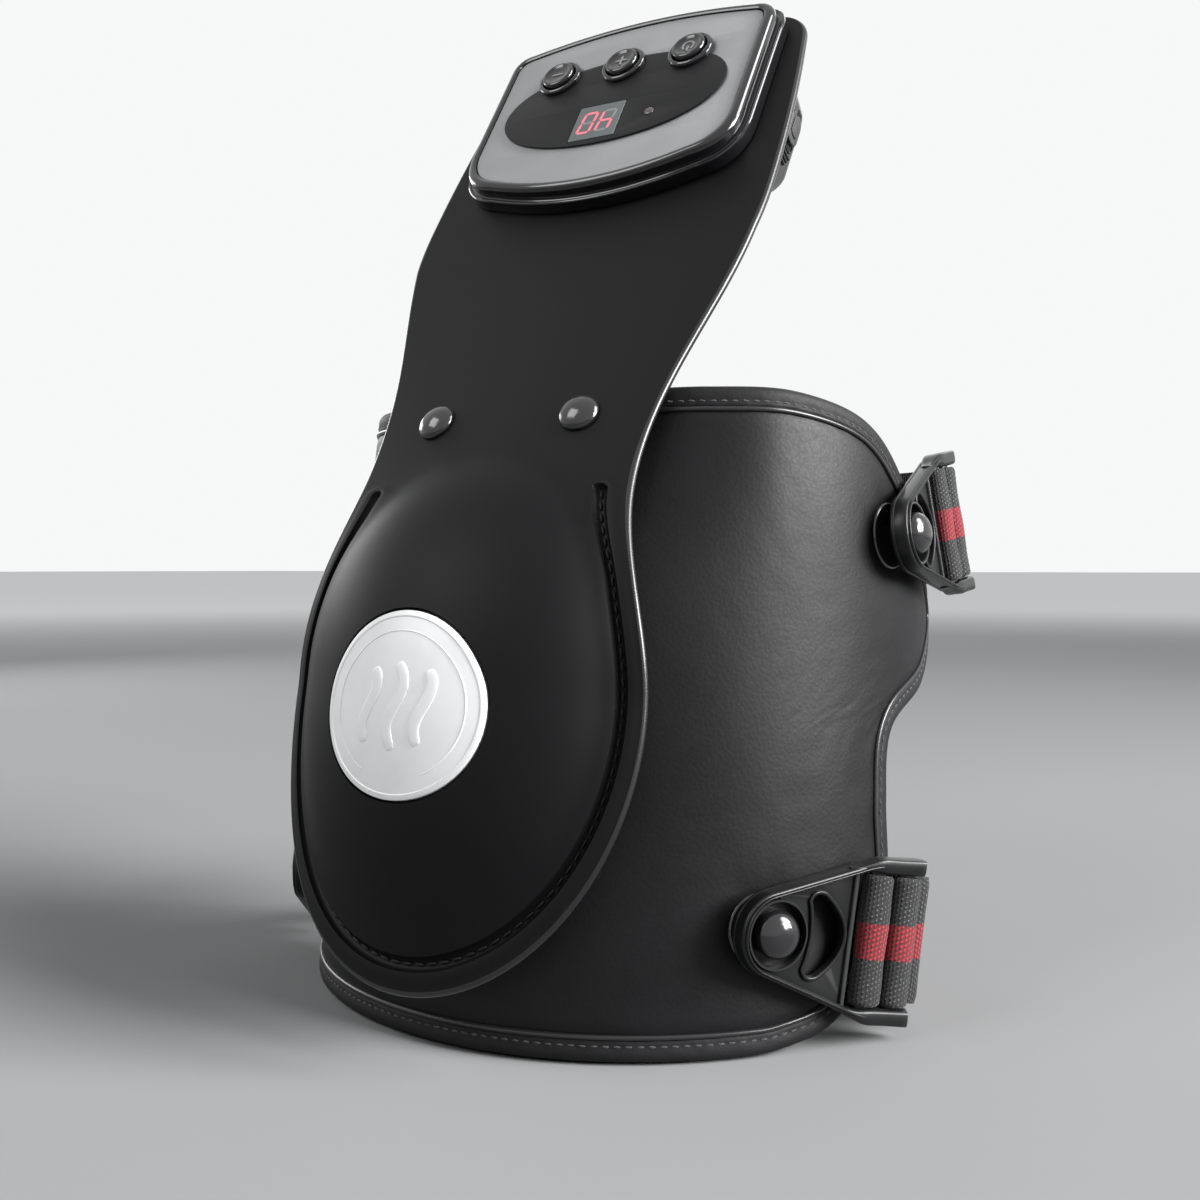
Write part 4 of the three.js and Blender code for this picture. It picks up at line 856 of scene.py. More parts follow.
@dataclass
class Wrap:
    """The padded leather wrap: a leaning cone with two wings, bound round its edge."""

    radius: float = 108.5
    taper: float = 0.0005
    lean: float = 0.1363
    front_y: float = -71.3
    height: float = 193.0
    leather: float = 3.0
    film_space: float = 2.2
    lining: float = 2.2
    tuck: float = 16.0
    tuck_from: float = 126.0
    tuck_flat: float = 18.0
    tuck_reach: float = 84.0
    top_dip: float = 4.0
    hem_half: float = 98.0
    top_half: float = 96.0
    notch_reach: float = 146.0
    notch_height: float = 66.0
    lobe_reach: float = 203.0
    lobe_height: float = 122.0
    columns: int = 132
    rows: int = 66
    edge: Spline = field(init=False)
    shift: Array = field(default_factory=lambda: np.zeros(3))

    def __post_init__(self) -> None:
        """Lay out the right wing's edge."""
        n, m, r = self.notch_reach, self.lobe_reach, self.lobe_height
        self.edge = Spline([
            (self.hem_half, 0, 0), (self.hem_half + 22, 5, 0), (n - 8, 21, 0), (n, 44, 0),
            (n, self.notch_height, 0), (n + 4, self.notch_height + 22, 0),
            (lerp(n, m, 0.62), r - 20, 0), (m, r, 0),
            (m - 18, r + 22, 0), (m - 40, self.height - 25, 0), (m - 62, self.height - 9, 0),
            (self.top_half + 12, self.height - 1, 0), (self.top_half - 22, self.height, 0),
        ])

    def point(self, t: Array, z: Array, depth: Array | float = 0.0) -> Array:
        """Give places on the wrap by arc length, height and depth under its outer face."""
        t, z, depth = np.broadcast_arrays(*(np.asarray(v, float) for v in (t, z, depth)))
        radius = self.radius * (1 - self.taper * z)
        beside = 1 - smooth((np.abs(t) - self.tuck_flat) / self.tuck_reach)
        tuck = self.tuck * beside * smooth((z - self.tuck_from) / 66)
        r = radius - depth - tuck
        angle = t / self.radius
        centre = self.front_y + self.lean * z + radius
        return stacked(r * np.sin(angle), centre - r * np.cos(angle), z) + self.shift

    @property
    def total(self) -> float:
        """Give the thickness from the leather's face to the lining's."""
        return self.leather + self.film_space + self.lining

    def param(self, q: Array, v: Array) -> tuple[Array, Array]:
        """Turn a share across and a share up into arc length and height."""
        q, v = np.broadcast_arrays(np.asarray(q, float), np.asarray(v, float))
        edge = self.edge.at(v)
        middle = v * (self.height - self.top_dip)
        z = lerp(middle, edge[..., 1], smooth(np.abs(q) * 1.15))
        return q * edge[..., 0], z

    def basis(self, t: float, z: float, sign: int) -> Axes:
        """Give the axes on the leather: round the leg, upwards and out of it."""
        def at(a: float, b: float) -> Array:
            return self.point(a, b) - self.shift
        turn = unit(at(t + 0.5, z) - at(t - 0.5, z))
        up = unit(at(t, z + 0.5) - at(t, z - 0.5))
        out = unit(np.cross(turn, up))
        origin = at(t, z)
        if sign < 0:
            turn, out, origin = (v * np.array([-1, 1, 1]) for v in (turn, out, origin))
        return Axes(origin + self.shift, turn, np.cross(out, turn), out)

    def rim(self, columns: int, rows: int) -> Array:
        """Give the outline as arc lengths and heights, round once."""
        across, up = np.linspace(-1, 1, columns + 1), np.linspace(0, 1, rows + 1)
        legs = [self.param(across[:-1], 0.0), self.param(1.0, up[:-1]),
                self.param(across[:0:-1], 1.0), self.param(-1.0, up[:0:-1])]
        return np.vstack([np.column_stack(leg) for leg in legs])

    def sheet(self, top: float, thickness: float, inset: float,
              swell: Callable[[Array, Array, Array], Array]) -> Net:
        """Build a closed sheet of the wrap.

        Args:
            top: Depth of its outer face.
            thickness: Its thickness.
            inset: How far its edge stays inside the outline.
            swell: Gives the outward puff from arc lengths, heights and distances to the edge.

        Returns:
            The sheet as a net.
        """
        c, r = self.columns, self.rows
        widest, even = math.pi / 2 * 0.86, np.linspace(0, 1, r + 1)
        q = np.sin(np.linspace(-1, 1, c + 1) * math.pi / 2 * 0.86) / math.sin(widest)
        v = (1 - np.cos(even * math.pi)) / 2 * 0.45 + even * 0.55
        t, z = self.param(q[None, :], v[:, None])
        rim = self.rim(120, 70)
        near = np.min(np.hypot(t[..., None] - rim[:, 0], z[..., None] - rim[:, 1]), axis=-1)
        pull = inset * np.clip(1 - near / 14, 0, 1)
        away = unit(stacked(-0.6 * t, 0.48 * self.height - z))
        t, z = t + away[..., 0] * pull, z + away[..., 1] * pull
        puff = swell(t, z, near)
        net = Net()
        span = stacked(t, z)
        round_in = np.clip(1 - near / 1.4, 0, 1) * 0.35 * thickness
        net.grid(self.point(t, z, top + round_in - puff), span=span)
        net.grid(self.point(t, z, top + thickness - round_in * 0.8), span=span, flip=True)
        border = [(0, i) for i in range(c)] + [(j, c) for j in range(r)]
        border += [(r, i) for i in range(c, 0, -1)] + [(j, 0) for j in range(r, 0, -1)]
        size = (c + 1) * (r + 1)
        for (a, b), (e, f) in zip(border, border[1:] + border[:1]):
            p, n = a * (c + 1) + b, e * (c + 1) + f
            net.faces.append((p, p + size, n + size, n))
            net.marks.append(0)
        return net


@dataclass
class Padding:
    """How the leather swells over its foam, and where fixings and sewing hold it down."""

    proud: float = 1.15
    hold: float = 7.0
    sites: Sequence[tuple[float, float, float]] = ()
    wrinkle: float = 0.16

    def __call__(self, t: Array, z: Array, near: Array) -> Array:
        """Give the outward puff in millimetres."""
        puff = self.proud * smooth((near - 2.5) / self.hold)
        flat = stacked(t, z, 0.0)
        edge_band = np.exp(-((near - 7) / 6.5) ** 2)
        along = np.sin((t * 0.9 + z * 1.1) / 4.6 + 1.6 * noise(flat, 60, 5))
        creases = 0.55 * along * smooth(noise(flat, 48, 8)) + 0.25 * noise(flat, 13, 9)
        puff = puff + self.wrinkle * edge_band * creases
        puff = puff + 0.2 * noise(flat, 95, 11) * smooth(near / 25)
        for at_t, at_z, reach in self.sites:
            away = np.hypot(t - at_t, z - at_z)
            puff = puff - (self.proud + 0.25) * np.exp(-((away / reach) ** 2))
            ray = np.arctan2(z - at_z, t - at_t)
            puff = puff + 0.14 * np.sin(ray * 7 + at_z) * np.exp(-(((away - reach) / (0.55 * reach)) ** 2))
        return puff


# Tongue


@dataclass
class Tongue:
    """The moulded tongue: oval dome below, waist with rivets, flexible flap above."""

    foot_y: float = -93.8
    foot_z: float = 19.3
    low_lean: float = math.radians(10.6)
    high_lean: float = math.radians(33.3)
    bend_start: float = 93.2
    bend_length: float = 56.3
    length: float = 356.0
    thickness: float = 4.6
    rim: float = 1.3
    wrap_radius: float = 157.7
    flatten_from: float = 86.0
    flatten_over: float = 164.0
    panel_at: float = 316.0
    half_width: float = 66.2
    widest_at: float = 82.0
    waist: float = 51.0
    waist_at: float = 165.0
    flap_half: float = 68.5
    flap_full_at: float = 268.0
    flap_top_half: float = 62.0
    corner: float = 13.0
    top_bow: float = 8.0
    flex_start: float = 195.0
    flex_length: float = 62.0
    dome_height: float = 15.5
    dome_at: float = 86.0
    dome_half_length: float = 74.0
    dome_half_span: float = 55.0
    dome_ease: float = 0.12
    groove_margin: float = 7.2
    groove_radius: float = 1.75
    groove_depth: float = 1.3
    groove_end: float = 150.0
    fine_from: float = 142.0
    fine_to: float = 156.0
    shift: Array = field(default_factory=lambda: np.zeros(3))

    def centre(self, s: Array | float) -> tuple[Array, Array, Array]:
        """Give the centre line's y, z and lean at arc lengths from the foot."""
        s = np.asarray(s, float)
        turn = (self.high_lean - self.low_lean) / self.bend_length
        first = np.minimum(s, self.bend_start)
        bent = np.clip(s - self.bend_start, 0, self.bend_length)
        last = np.maximum(s - self.bend_start - self.bend_length, 0)
        lean = self.low_lean + turn * bent
        y = (self.foot_y + first * math.sin(self.low_lean) + (math.cos(self.low_lean) - np.cos(lean)) / turn
             + last * math.sin(self.high_lean))
        z = (self.foot_z + first * math.cos(self.low_lean) + (np.sin(lean) - math.sin(self.low_lean)) / turn
             + last * math.cos(self.high_lean))
        return y, z, lean

    def point(self, s: Array | float, u: Array | float, h: Array | float = 0.0) -> Array:
        """Give places by length up the tongue, width across it and height over its face."""
        s, u, h = np.broadcast_arrays(*(np.asarray(v, float) for v in (s, u, h)))
        y, z, lean = self.centre(s)
        curve = lerp(1 / self.wrap_radius, 1e-5, np.clip((s - self.flatten_from) / self.flatten_over, 0, 1))
        angle = u * curve
        x = np.sin(angle) / curve + h * np.sin(angle)
        off = h * np.cos(angle) - (1 - np.cos(angle)) / curve
        return stacked(x, y - np.cos(lean) * off, z + np.sin(lean) * off) + self.shift

    def axes(self, s: float, u: float, h: float = 0.0) -> Axes:
        """Give the axes on the face: across, up the tongue and out of it."""
        across = unit(self.point(s, u + 0.5, h) - self.point(s, u - 0.5, h))
        up = unit(self.point(s + 0.5, u, h) - self.point(s - 0.5, u, h))
        out = unit(np.cross(across, up))
        return Axes(self.point(s, u, h), across, np.cross(out, across), out)

    def panel(self, shift: Array) -> Axes:
        """Give the control housing's axes."""
        y, z, lean = self.centre(self.panel_at)
        up = np.array([0, math.sin(lean), math.cos(lean)])
        out = np.array([0, -math.cos(lean), math.sin(lean)])
        return Axes(np.array([0, float(y), float(z)]) + shift, np.array([1.0, 0, 0]), up, out)

    def half(self, s: Array | float) -> Array:
        """Give the half width at a length up the tongue, above its round foot."""
        s = np.asarray(s, float)
        ease = np.clip((s - self.widest_at) / (self.waist_at - self.widest_at), 0, 1)
        below = lerp(self.waist, self.half_width, (1 + np.cos(math.pi * ease)) / 2)
        rise = np.clip((s - self.waist_at) / (self.flap_full_at - self.waist_at), 0, 1)
        flare = lerp(self.waist, self.flap_half, (1 - np.cos(math.pi * rise)) / 2)
        taper = np.clip((s - self.flap_full_at) / (self.length - self.flap_full_at), 0, 1)
        corner = np.maximum(s - (self.length - self.corner), 0)
        gone = self.corner - np.sqrt(np.maximum(self.corner**2 - corner**2, 0))
        above = flare - taper**2 * (self.flap_half - self.flap_top_half) - gone
        return np.where(s < self.waist_at, below, above)

    def rise(self, s: Array, u: Array) -> Array:
        """Give the dome's height over the sheet."""
        rho = ((s - self.dome_at) / self.dome_half_length) ** 2 + (u / self.dome_half_span) ** 2
        inside = 1 - rho
        return self.dome_height * ((inside + np.sqrt(inside**2 + self.dome_ease**2)) / 2) ** 0.78

    def stations(self) -> Array:
        """Give the lengths up the tongue at which the outline is read, above the foot."""
        flex_end, top = self.flex_start + self.flex_length, self.length - self.corner
        low, high = self.fine_from, self.fine_to
        parts = [np.linspace(self.widest_at, low, 26)[:-1], np.linspace(low, high, 29),
                 np.linspace(high, flex_end, 45)[1:], np.linspace(flex_end, top, 32)[1:],
                 top + self.corner * np.sin(np.linspace(0, math.pi / 2, 12)[1:]) * 0.985]
        return np.concatenate(parts)

    def line(self, margin: float | None, share: float = 1.0) -> tuple[Array, Array]:
        """Follow the outline at a margin inside it, from the top right round the foot to the top left.

        Args:
            margin: Distance from the edge; None takes a share of the way from the middle instead.
            share: That share, from 0 at the middle to 1 at the innermost margin.

        Returns:
            Lengths up the tongue and widths across it.
        """
        inner = 14.0
        inset = inner if margin is None else margin
        e = self.stations()
        narrow = 1 + 0.4 * smooth((e - 120) / 30) * (1 - smooth((e - 152) / 30))
        width = np.maximum(self.half(e) - inset * narrow, 2) * share
        flex_end, top = self.flex_start + self.flex_length, self.length - self.corner
        low = 0.5 * (e - flex_end) / (top - flex_end)
        high = 0.5 + np.arcsin(np.clip((e - top) / (self.corner * 0.985), 0, 1)) / math.pi
        t = np.where(e < top, low, high)
        q = width / self.half(e)
        bow = self.top_bow * (1 - q * q) * smooth((t - 0.3) / 0.7)
        s = e + bow
        turn = np.linspace(0, math.pi, 97)[1:-1]
        foot_u = (self.half_width - inset) * share * np.cos(turn)
        foot_s = self.widest_at - (self.widest_at - 1.25 * inset) * share * np.sin(turn)
        return (np.concatenate([s[::-1], foot_s, s]), np.concatenate([width[::-1], foot_u, -width]))

    def groove(self, s: Array, margin: Array) -> Array:
        """Give the stitched groove's depth at places by their margin, less the low rolls beside it."""
        away = np.hypot(margin - self.groove_margin, np.maximum(s - self.groove_end, 0))
        roll = 0.3 * np.exp(-(((away - 3.1) / 1.0) ** 2))
        channel = np.sqrt(np.clip(1 - (away / self.groove_radius) ** 2, 0, 1))
        return self.groove_depth * self.groove_radius * channel - roll

    def net(self) -> Net:
        """Build the whole tongue as one closed sheet, thinner and round towards its edge."""
        margins = [0, 0.05, 0.2, 0.42, 0.72, 1.05, 1.3, 1.7, 2.4, 3.2, 4.6, 5.3, 5.45, 5.6, 5.85, 6.2, 6.7,
                   7.2, 7.7, 8.2, 8.55, 8.8, 8.95, 9.1, 9.8, 11.2, 14]
        shares = np.linspace(1, 0, 27)[1:]
        rows = [(*self.line(m), m) for m in margins] + [(*self.line(None, w), 99.0) for w in shares]
        s = np.stack([r[0] for r in rows])
        u = np.stack([r[1] for r in rows])
        margin = np.broadcast_to(np.array([r[2] for r in rows])[:, None], s.shape)
        edge = np.minimum(margin, s[:, :1] - s)
        fall = self.rim - np.sqrt(np.clip(self.rim**2 - np.maximum(self.rim - edge, 0) ** 2, 0, None))
        thick = self.thickness * (1 - 0.38 * (1 - smooth(edge / 4.6)))
        net = Net()
        span = stacked(s, u)
        net.grid(self.point(s, u, self.rise(s, u) - self.groove(s, margin) - fall), span=span, flip=True)
        net.grid(self.point(s, u, self.rise(s, u) - thick + fall), span=span)
        at_rim = np.minimum(edge[:-1, :-1], edge[1:, 1:]) < self.rim - 0.01
        net.marks = np.tile(at_rim, (2, 1)).ravel().astype(int).tolist()
        columns, size = s.shape[1], s.size
        net.faces += [(i, i + 1, size + i + 1, size + i) for i in range(columns - 1)]
        for j in range(len(rows) - 1):
            for a in (j * columns, j * columns + columns - 1):
                net.faces.append((a, size + a, size + a + columns, a + columns))
        net.marks += [1] * (len(net.faces) - len(net.marks))
        return net


# What repeats along a path


class Graph:
    """A geometry node tree with named inputs."""

    def __init__(self, name: str, inputs: dict[str, str]) -> None:
        """Start a tree.

        Args:
            name: Its name.
            inputs: Socket types by input name.
        """
        self.tree = bpy.data.node_groups.new(name, "GeometryNodeTree")
        face = self.tree.interface
        face.new_socket("Geometry", in_out="INPUT", socket_type="NodeSocketGeometry")
        face.new_socket("Geometry", in_out="OUTPUT", socket_type="NodeSocketGeometry")
        self.ids = {key: face.new_socket(key, in_out="INPUT", socket_type=kind).identifier
                    for key, kind in inputs.items()}
        self.inputs = self.tree.nodes.new("NodeGroupInput").outputs
        self.sink = self.tree.nodes.new("NodeGroupOutput").inputs[0]

    def add(self, kind: str, values: dict, output: int | str = 0, **settings: object) -> bpy.types.NodeSocket:
        """Add a node with numbers or sockets on its inputs, and give one output."""
        made = self.tree.nodes.new(kind)
        for key, setting in settings.items():
            setattr(made, key, setting)
        for key, value in values.items():
            if isinstance(value, bpy.types.NodeSocket):
                self.tree.links.new(value, made.inputs[key])
            else:
                made.inputs[key].default_value = value
        return made.outputs[output]

    def stored(self, key: str) -> bpy.types.NodeSocket:
        """Read one direction stored on the points."""
        return self.add("GeometryNodeInputNamedAttribute", {"Name": key}, data_type="FLOAT_VECTOR")

    def facing(self, way: bpy.types.NodeSocket, before: object = (0.0, 0.0, 0.0),
               **how: str) -> bpy.types.NodeSocket:
        """Turn an axis towards a direction."""
        return self.add("FunctionNodeAlignRotationToVector", {"Rotation": before, "Vector": way}, **how)

    def repeat(self, points: bpy.types.NodeSocket, part: bpy.types.NodeSocket, turn: bpy.types.NodeSocket,
               soft: bool = False) -> None:
        """End the tree with a copy of a part on every point, made real and given the Finish input."""
        laid = {"Points": points, "Instance": part, "Rotation": turn}
        done = self.add("GeometryNodeInstanceOnPoints", laid)
        done = self.add("GeometryNodeRealizeInstances", {"Geometry": done})
        if soft:
            done = self.add("GeometryNodeSetShadeSmooth", {"Geometry": done})
        done = self.add("GeometryNodeSetMaterial", {"Geometry": done, "Material": self.inputs["Finish"]})
        self.tree.links.new(done, self.sink)

    def run(self, piece: Piece, values: dict[str, object]) -> Piece:
        """Apply the tree to a piece with values for its named inputs."""
        step = piece.modifiers.new(self.tree.name, "NODES")
        step.node_group = self.tree
        for key, value in values.items():
            step[self.ids[key]] = value
        return settled(piece)


@dataclass
class Seam:
    """Stitches laid along runs of points, at an even pitch."""

    name: str
    finish: Material
    pitch: float = 3.4
    long: float = 2.4
    thick: float = 0.62
    seed: int = 4

    def graph(self) -> Graph:
        """Build the tree: one stitch on each resampled point, turned along the run."""
        lengths = {key: "NodeSocketFloat" for key in ("Pitch", "Long", "Thick")}
        g = Graph(self.name, {**lengths, "Seed": "NodeSocketInt", "Finish": "NodeSocketMaterial"})
        curve = g.add("GeometryNodeMeshToCurve", {"Mesh": g.inputs["Geometry"]})
        evenly = g.add("GeometryNodeResampleCurve", {"Curve": curve, "Length": g.inputs["Pitch"]},
                       mode="LENGTH")
        ball = g.add("GeometryNodeMeshUVSphere", {"Segments": 10, "Rings": 7, "Radius": 0.5})
        thick = g.inputs["Thick"]
        size = g.add("ShaderNodeCombineXYZ", {0: g.inputs["Long"], 1: thick, 2: thick})
        stitch = g.add("GeometryNodeTransform", {"Geometry": ball, "Scale": size})
        along = g.facing(g.add("GeometryNodeInputTangent", {}), axis="X")
        upright = g.facing(g.stored("rise"), along, axis="Z", pivot_axis="X")
        jog = g.add("FunctionNodeRandomValue", {"Min": (-0.03, -0.05, -0.07), "Max": (0.03, 0.05, 0.07),
                                                "Seed": g.inputs["Seed"]}, data_type="FLOAT_VECTOR")
        loose = g.add("FunctionNodeRotateRotation", {"Rotation": upright, "Rotate By": jog},
                      rotation_space="LOCAL")
        g.repeat(evenly, stitch, loose, soft=True)
        return g

    def build(self, runs: Sequence[Array], rises: Sequence[Array] | None = None, ring: bool = False) -> Piece:
        """Sew along runs of points in millimetres; rises are the face's outward directions."""
        points, edges, up = [], [], []
        for k, run in enumerate(runs):
            first, n = len(points), len(run)
            points.extend((run * MM).tolist())
            edges.extend((first + i, first + i + 1) for i in range(n - 1))
            if ring:
                edges.append((first + n - 1, first))
            up.append(np.broadcast_to((0.0, 0.0, 1.0), run.shape) if rises is None else rises[k])
        mesh = bpy.data.meshes.new(self.name)
        mesh.from_pydata(points, edges, [])
        layer = mesh.attributes.new("rise", "FLOAT_VECTOR", "POINT")
        layer.data.foreach_set("vector", np.vstack(up).astype(np.float32).ravel())
        values = {"Pitch": self.pitch * MM, "Long": self.long * MM, "Thick": self.thick * MM,
                  "Seed": self.seed, "Finish": self.finish}
        return self.graph().run(placed(self.name, mesh), values)


def copies(name: str, part: Piece, places: Sequence[Axes], finish: Material) -> Piece:
    """Set copies of a part on axes by their origins and directions, and take the part away.

    Args:
        name: The new piece's name.
        part: What is copied, drawn at the origin with Z outwards.
        places: Where each copy stands.
        finish: The material of all copies.

    Returns:
        One piece with every copy in it.
    """
    g = Graph(name, {"Part": "NodeSocketObject", "Finish": "NodeSocketMaterial"})
    shape = g.add("GeometryNodeObjectInfo", {"Object": g.inputs["Part"]}, "Geometry")
    turn = g.facing(g.stored("across"), g.facing(g.stored("out"), axis="Z"), axis="X", pivot_axis="Z")
    g.repeat(g.inputs["Geometry"], shape, turn)
    mesh = bpy.data.meshes.new(name)
    mesh.from_pydata([(a.origin * MM).tolist() for a in places], [], [])
    for key in ("out", "across"):
        layer = mesh.attributes.new(key, "FLOAT_VECTOR", "POINT")
        layer.data.foreach_set("vector", np.array([getattr(a, key) for a in places], np.float32).ravel())
    piece = g.run(placed(name, mesh), {"Part": part, "Finish": finish})
    bpy.data.objects.remove(part)
    return piece


# Padded wrap and tongue


@dataclass
class Swelling:
    """Cloth simulation that presses a padded sheet outwards between the places that hold it down."""

    pressure: float = 4.0
    mass: float = 0.004
    frames: int = 20
    slack: float = 0.0003
    cap: float = 2.2

    def run(self, piece: Piece, hold: Array, reach: Array) -> Piece:
        """Simulate a piece and keep the result in its mesh.

        Args:
            piece: The closed sheet.
            hold: For each point, 1 where it is sewn or clamped and 0 where it is free.
            reach: For each point, how far it may move, as a share of the cap.

        Returns:
            The same piece, with no modifier left on it.
        """
        pins = piece.vertex_groups.new(name="held")
        for level in np.unique(np.round(hold, 2)):
            pins.add(np.flatnonzero(np.round(hold, 2) == level).tolist(), float(level), "REPLACE")
        start = places_of(piece.data)
        cloth = piece.modifiers.new("Swelling", "CLOTH")
        how = cloth.settings
        how.quality, how.mass, how.air_damping = 6, self.mass, 2.0
        how.tension_stiffness = how.compression_stiffness = 12
        how.shear_stiffness, how.bending_stiffness = 6, 3.0
        how.use_pressure, how.uniform_pressure_force = True, self.pressure
        how.vertex_group_mass, how.pin_stiffness = "held", 1.0
        how.shrink_min = how.shrink_max = -self.slack
        how.effector_weights.gravity = 0
        cloth.point_cache.frame_start, cloth.point_cache.frame_end = 1, self.frames
        for frame_number in range(1, self.frames + 1):
            bpy.context.scene.frame_set(frame_number)
        ready = piece.evaluated_get(bpy.context.evaluated_depsgraph_get())
        moved = places_of(ready.data) - start
        piece.modifiers.clear()
        piece.vertex_groups.clear()
        bpy.context.scene.frame_set(1)
        size = np.linalg.norm(moved, axis=1, keepdims=True)
        most = self.cap * MM * reach[:, None]
        moved *= most * np.tanh(size / np.maximum(most, 1e-9)) / np.maximum(size, 1e-9)
        log.info("%s swelled by up to %.2f mm", piece.name, float(np.abs(moved).max() / MM))
        piece.data.vertices.foreach_set("co", (start + moved).ravel())
        piece.data.update()
        finer = piece.modifiers.new("Finer", "SUBSURF")
        finer.levels = finer.render_levels = 1
        return settled(piece)


@dataclass
class WrapPad:
    """Outer leather over foam and brushed lining inside."""

    wrap: Wrap
    finishes: Finishes
    rivet_reach: float = 27.0
    rivet_height: float = 189.0
    dome_height: float = 96.0
    dome_half_width: float = 50.0
    dome_half_height: float = 62.0

    def build(self) -> None:
        """Build the pad's pieces."""
        w = self.wrap
        studs = [(sign * site.reach, site.height, 12.0) for site in SITES for _, sign in SIDES]
        rivets = [(sign * self.rivet_reach, self.rivet_height, 10.0) for _, sign in SIDES]
        outer = w.sheet(0.0, w.leather, 0.9, Padding(sites=[*studs, *rivets]))
        leather = outer.object("wrap_pad", [self.finishes.leather], 60)
        leather = self.swell(leather, studs + rivets)
        show(leather, "base", ["wrap_leather"])
        inner = w.sheet(w.leather + w.film_space, w.lining, 0.9, lambda t, z, near: -0.25 * noise(
            stacked(t, z, 0 * t), 40, 3) * smooth(near / 12))
        lining = inner.object("wrap_inner_lining", [self.finishes.lining], 60)
        show(lining, "base", ["wrap_lining"])

    def swell(self, leather: Piece, fixings: Pairs) -> Piece:
        """Let the leather swell between its sewn rim, the tongue's tray and the fixings."""
        w = self.wrap
        p = places_of(leather.data) / MM
        q = p - w.shift
        radius = w.radius * (1 - w.taper * q[:, 2])
        centre = w.front_y + w.lean * q[:, 2] + radius
        angle = np.arctan2(q[:, 0], centre - q[:, 1])
        t, z = angle * w.radius, q[:, 2]
        deep = np.linalg.norm(w.point(t, z, 0.0) - p, axis=1) * (np.hypot(q[:, 0], centre - q[:, 1]) < radius)
        rim = w.rim(120, 70)
        near = np.min(np.hypot(t[:, None] - rim[:, 0], z[:, None] - rim[:, 1]), axis=1)
        hold = np.maximum(1 - smooth((near - 3.5) / 5), smooth((deep - w.leather * 0.45) / 0.6))
        for at_t, at_z, reach in fixings:
            hold = np.maximum(hold, 1 - smooth((np.hypot(t - at_t, z - at_z) - 0.75 * reach) / 5))
        from_dome = np.hypot(t / self.dome_half_width, (z - self.dome_height) / self.dome_half_height)
        under = smooth((1.25 - from_dome) / 0.15)
        hold = np.maximum(hold, under)
        return Swelling().run(leather, hold, 1.0 - 0.75 * under)


@dataclass(frozen=True)
class Site:
    """Where a stud sits on the wrap and how its buckle and strap lie."""

    level: str
    reach: float
    height: float
    yaw: float
    pitch: float
    roll: float
    sag: float
    hang: float | None = None


SITES = (
    Site("lower", 94.8, 34.0, 8.0, 5.5, -9.0, 39.0, 18.2),
    Site("upper", 152.5, 149.0, 9.0, -3.5, 7.0, 30.0),
)


@dataclass
class TonguePiece:
    """The tongue's sheet with its stitched groove."""

    tongue: Tongue
    finishes: Finishes

    def build(self) -> None:
        """Build the tongue in one piece across the flexing length."""
        t = self.tongue
        piece = t.net().object("tongue", [self.finishes.moulding, self.finishes.rim], 38)
        badge = Badge(t, self.finishes)
        piece = badge.seat(piece)
        badge.build()
        end = t.flex_start + t.flex_length
        start_at, end_at = (tuple(t.point(s, 0, -t.thickness / 2) * MM) for s in (t.flex_start, end))
        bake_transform(piece)
        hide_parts("dome_shell", "tongue_flex", "flap_panel")


def dress_nodes(finishes: Finishes) -> None:
    """Give the nodes that keep their own shape a fuller finish."""
    other_names = {"gloss_black": "gloss", "satin_black": "satin", "buckle_black": "buckle",
                   "display": "glass", "led": "lamp", "port_rubber": "rubber"}
    slots = {row["node"]: row["material_slot"] for row in frame["record"]["subparts"]}
    for name, node in frame["nodes"].items():
        finish = getattr(finishes, other_names.get(slots[name], slots[name]))
        for place in node.material_slots:
            place.material = finish


# Binding, stitched groove and module tray


